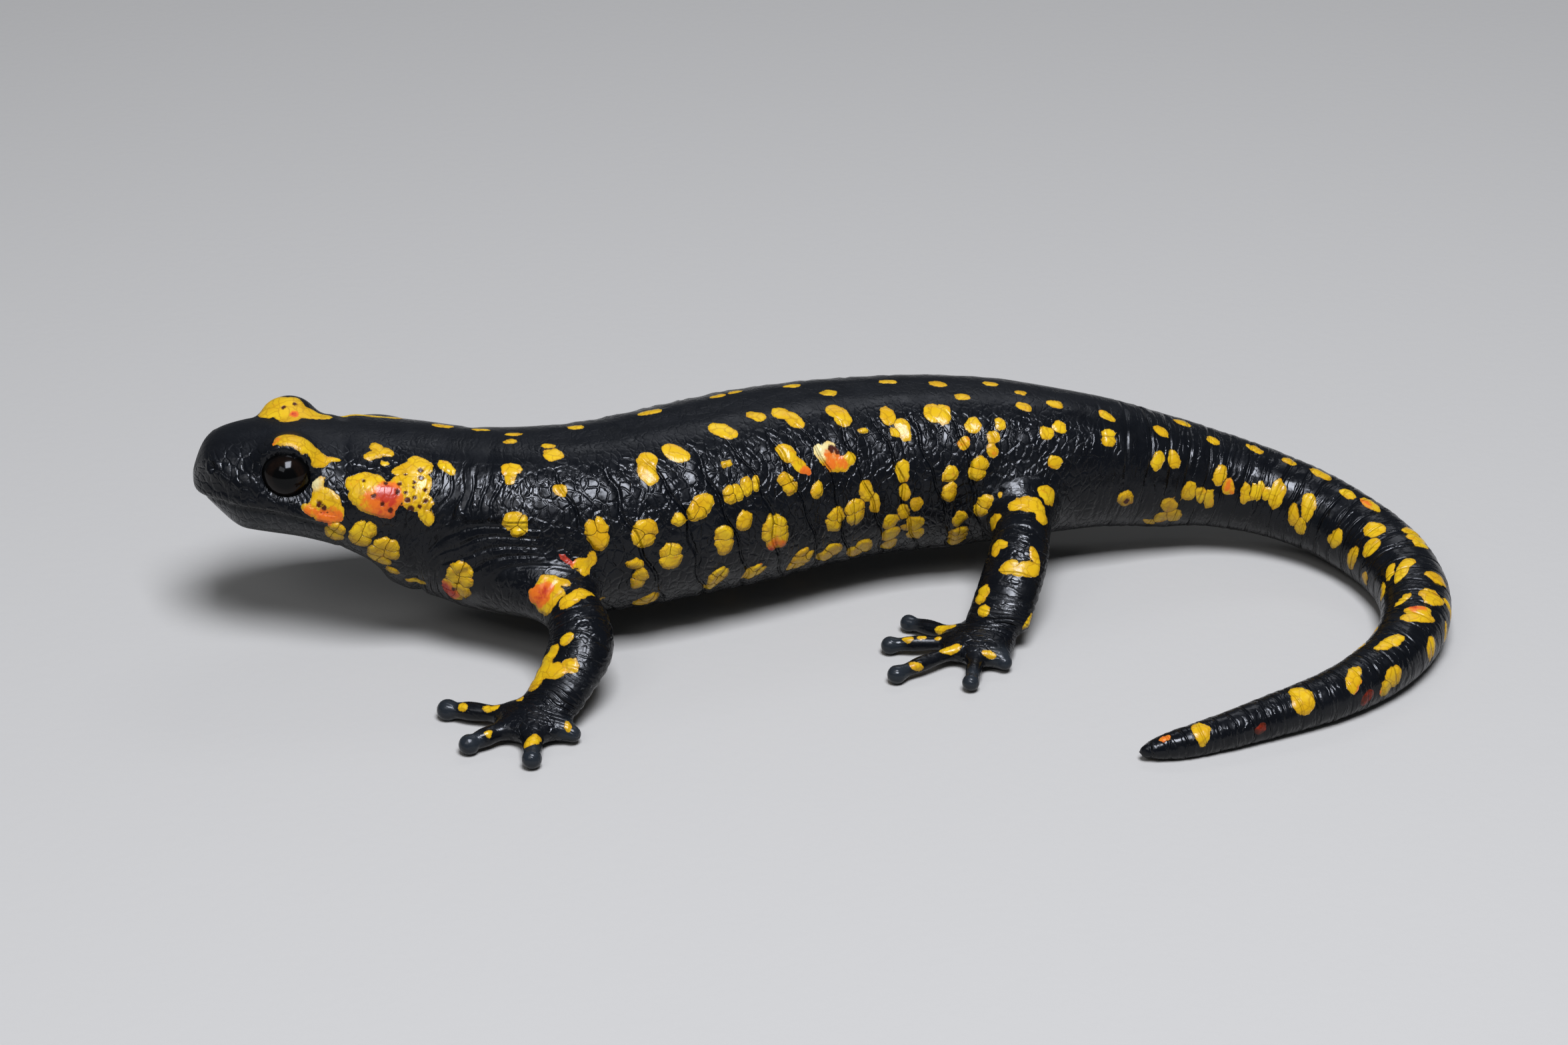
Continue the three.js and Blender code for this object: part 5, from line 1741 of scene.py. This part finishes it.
class SALAMANDER_OT_eyes(bpy.types.Operator):
    """Makes the two eyeballs in their sockets"""

    bl_idname = "salamander.eyes"
    bl_label = "Make Eyes"

    def execute(self, context):
        for side in heads:
            make_eye(side, context.scene.salamander_eyes)
        return {"FINISHED"}


class SALAMANDER_OT_stage(bpy.types.Operator):
    """Makes the pale floor, the softboxes and the camera"""

    bl_idname = "salamander.stage"
    bl_label = "Make Stage"

    def execute(self, context):
        look = context.scene.salamander_stage
        deselect_all()
        bpy.ops.mesh.primitive_plane_add(size=FLOOR_SIZE)
        floor = bpy.context.object
        floor.name = "floor"
        floor.data.materials.append(paper_material(look))
        aim = Vector(CAMERA["aim"])
        for name, (width, depth), distance, elevation, azimuth, power, colour in LIGHTS:
            lamp = bpy.data.lights.new(name, "AREA")
            lamp.shape = "RECTANGLE"
            lamp.size = width * MM
            lamp.size_y = depth * MM
            lamp.energy = power * look.lamp_strength
            lamp.color = linear(colour)[:3]
            stand_facing(lamp, from_angles(distance, elevation, azimuth), aim)
        context.scene.view_settings.view_transform = "Standard"
        world = bpy.data.worlds.new("soft studio")
        world.use_nodes = True
        background = world.node_tree.nodes["Background"]
        background.inputs["Color"].default_value = look.sky
        background.inputs["Strength"].default_value = look.sky_strength
        context.scene.world = world
        camera = bpy.data.cameras.new("camera")
        camera.lens = CAMERA["lens"]
        camera.sensor_width = CAMERA["sensor"]
        camera.clip_start = 10 * MM
        place = from_angles(CAMERA["distance"], CAMERA["elevation"], 0)
        context.scene.camera = stand_facing(camera, place, aim)
        return {"FINISHED"}


class SALAMANDER_PT_panel(bpy.types.Panel):
    """Lists the settings and makers of the salamander"""

    bl_idname = "SALAMANDER_PT_panel"
    bl_label = "Fire Salamander"
    bl_space_type = "VIEW_3D"
    bl_region_type = "UI"
    bl_category = "Salamander"

    def draw(self, context):
        for settings, operator in GROUPS.items():
            box = self.layout.box()
            group = getattr(context.scene, settings)
            for name in group.bl_rna.properties.keys():
                if name not in ("rna_type", "name"):
                    box.prop(group, name)
            box.operator(operator.bl_idname)


GROUPS = {
    "salamander_skin": SALAMANDER_OT_skin,
    "salamander_eyes": SALAMANDER_OT_eyes,
    "salamander_stage": SALAMANDER_OT_stage,
}
SETTINGS = (SkinSettings, EyeSettings, StageSettings)
CLASSES = (*SETTINGS, *GROUPS.values(), SALAMANDER_PT_panel)


def register():
    for made in CLASSES:
        bpy.utils.register_class(made)
    for name, settings in zip(GROUPS, SETTINGS):
        setattr(bpy.types.Scene, name, bpy.props.PointerProperty(type=settings))


def unregister():
    for name in GROUPS:
        delattr(bpy.types.Scene, name)
    for made in reversed(CLASSES):
        bpy.utils.unregister_class(made)


def main():
    register()
    bpy.ops.salamander.skin()
    bpy.ops.salamander.eyes()
    bpy.ops.salamander.stage()


if __name__ == "__main__":
    main()
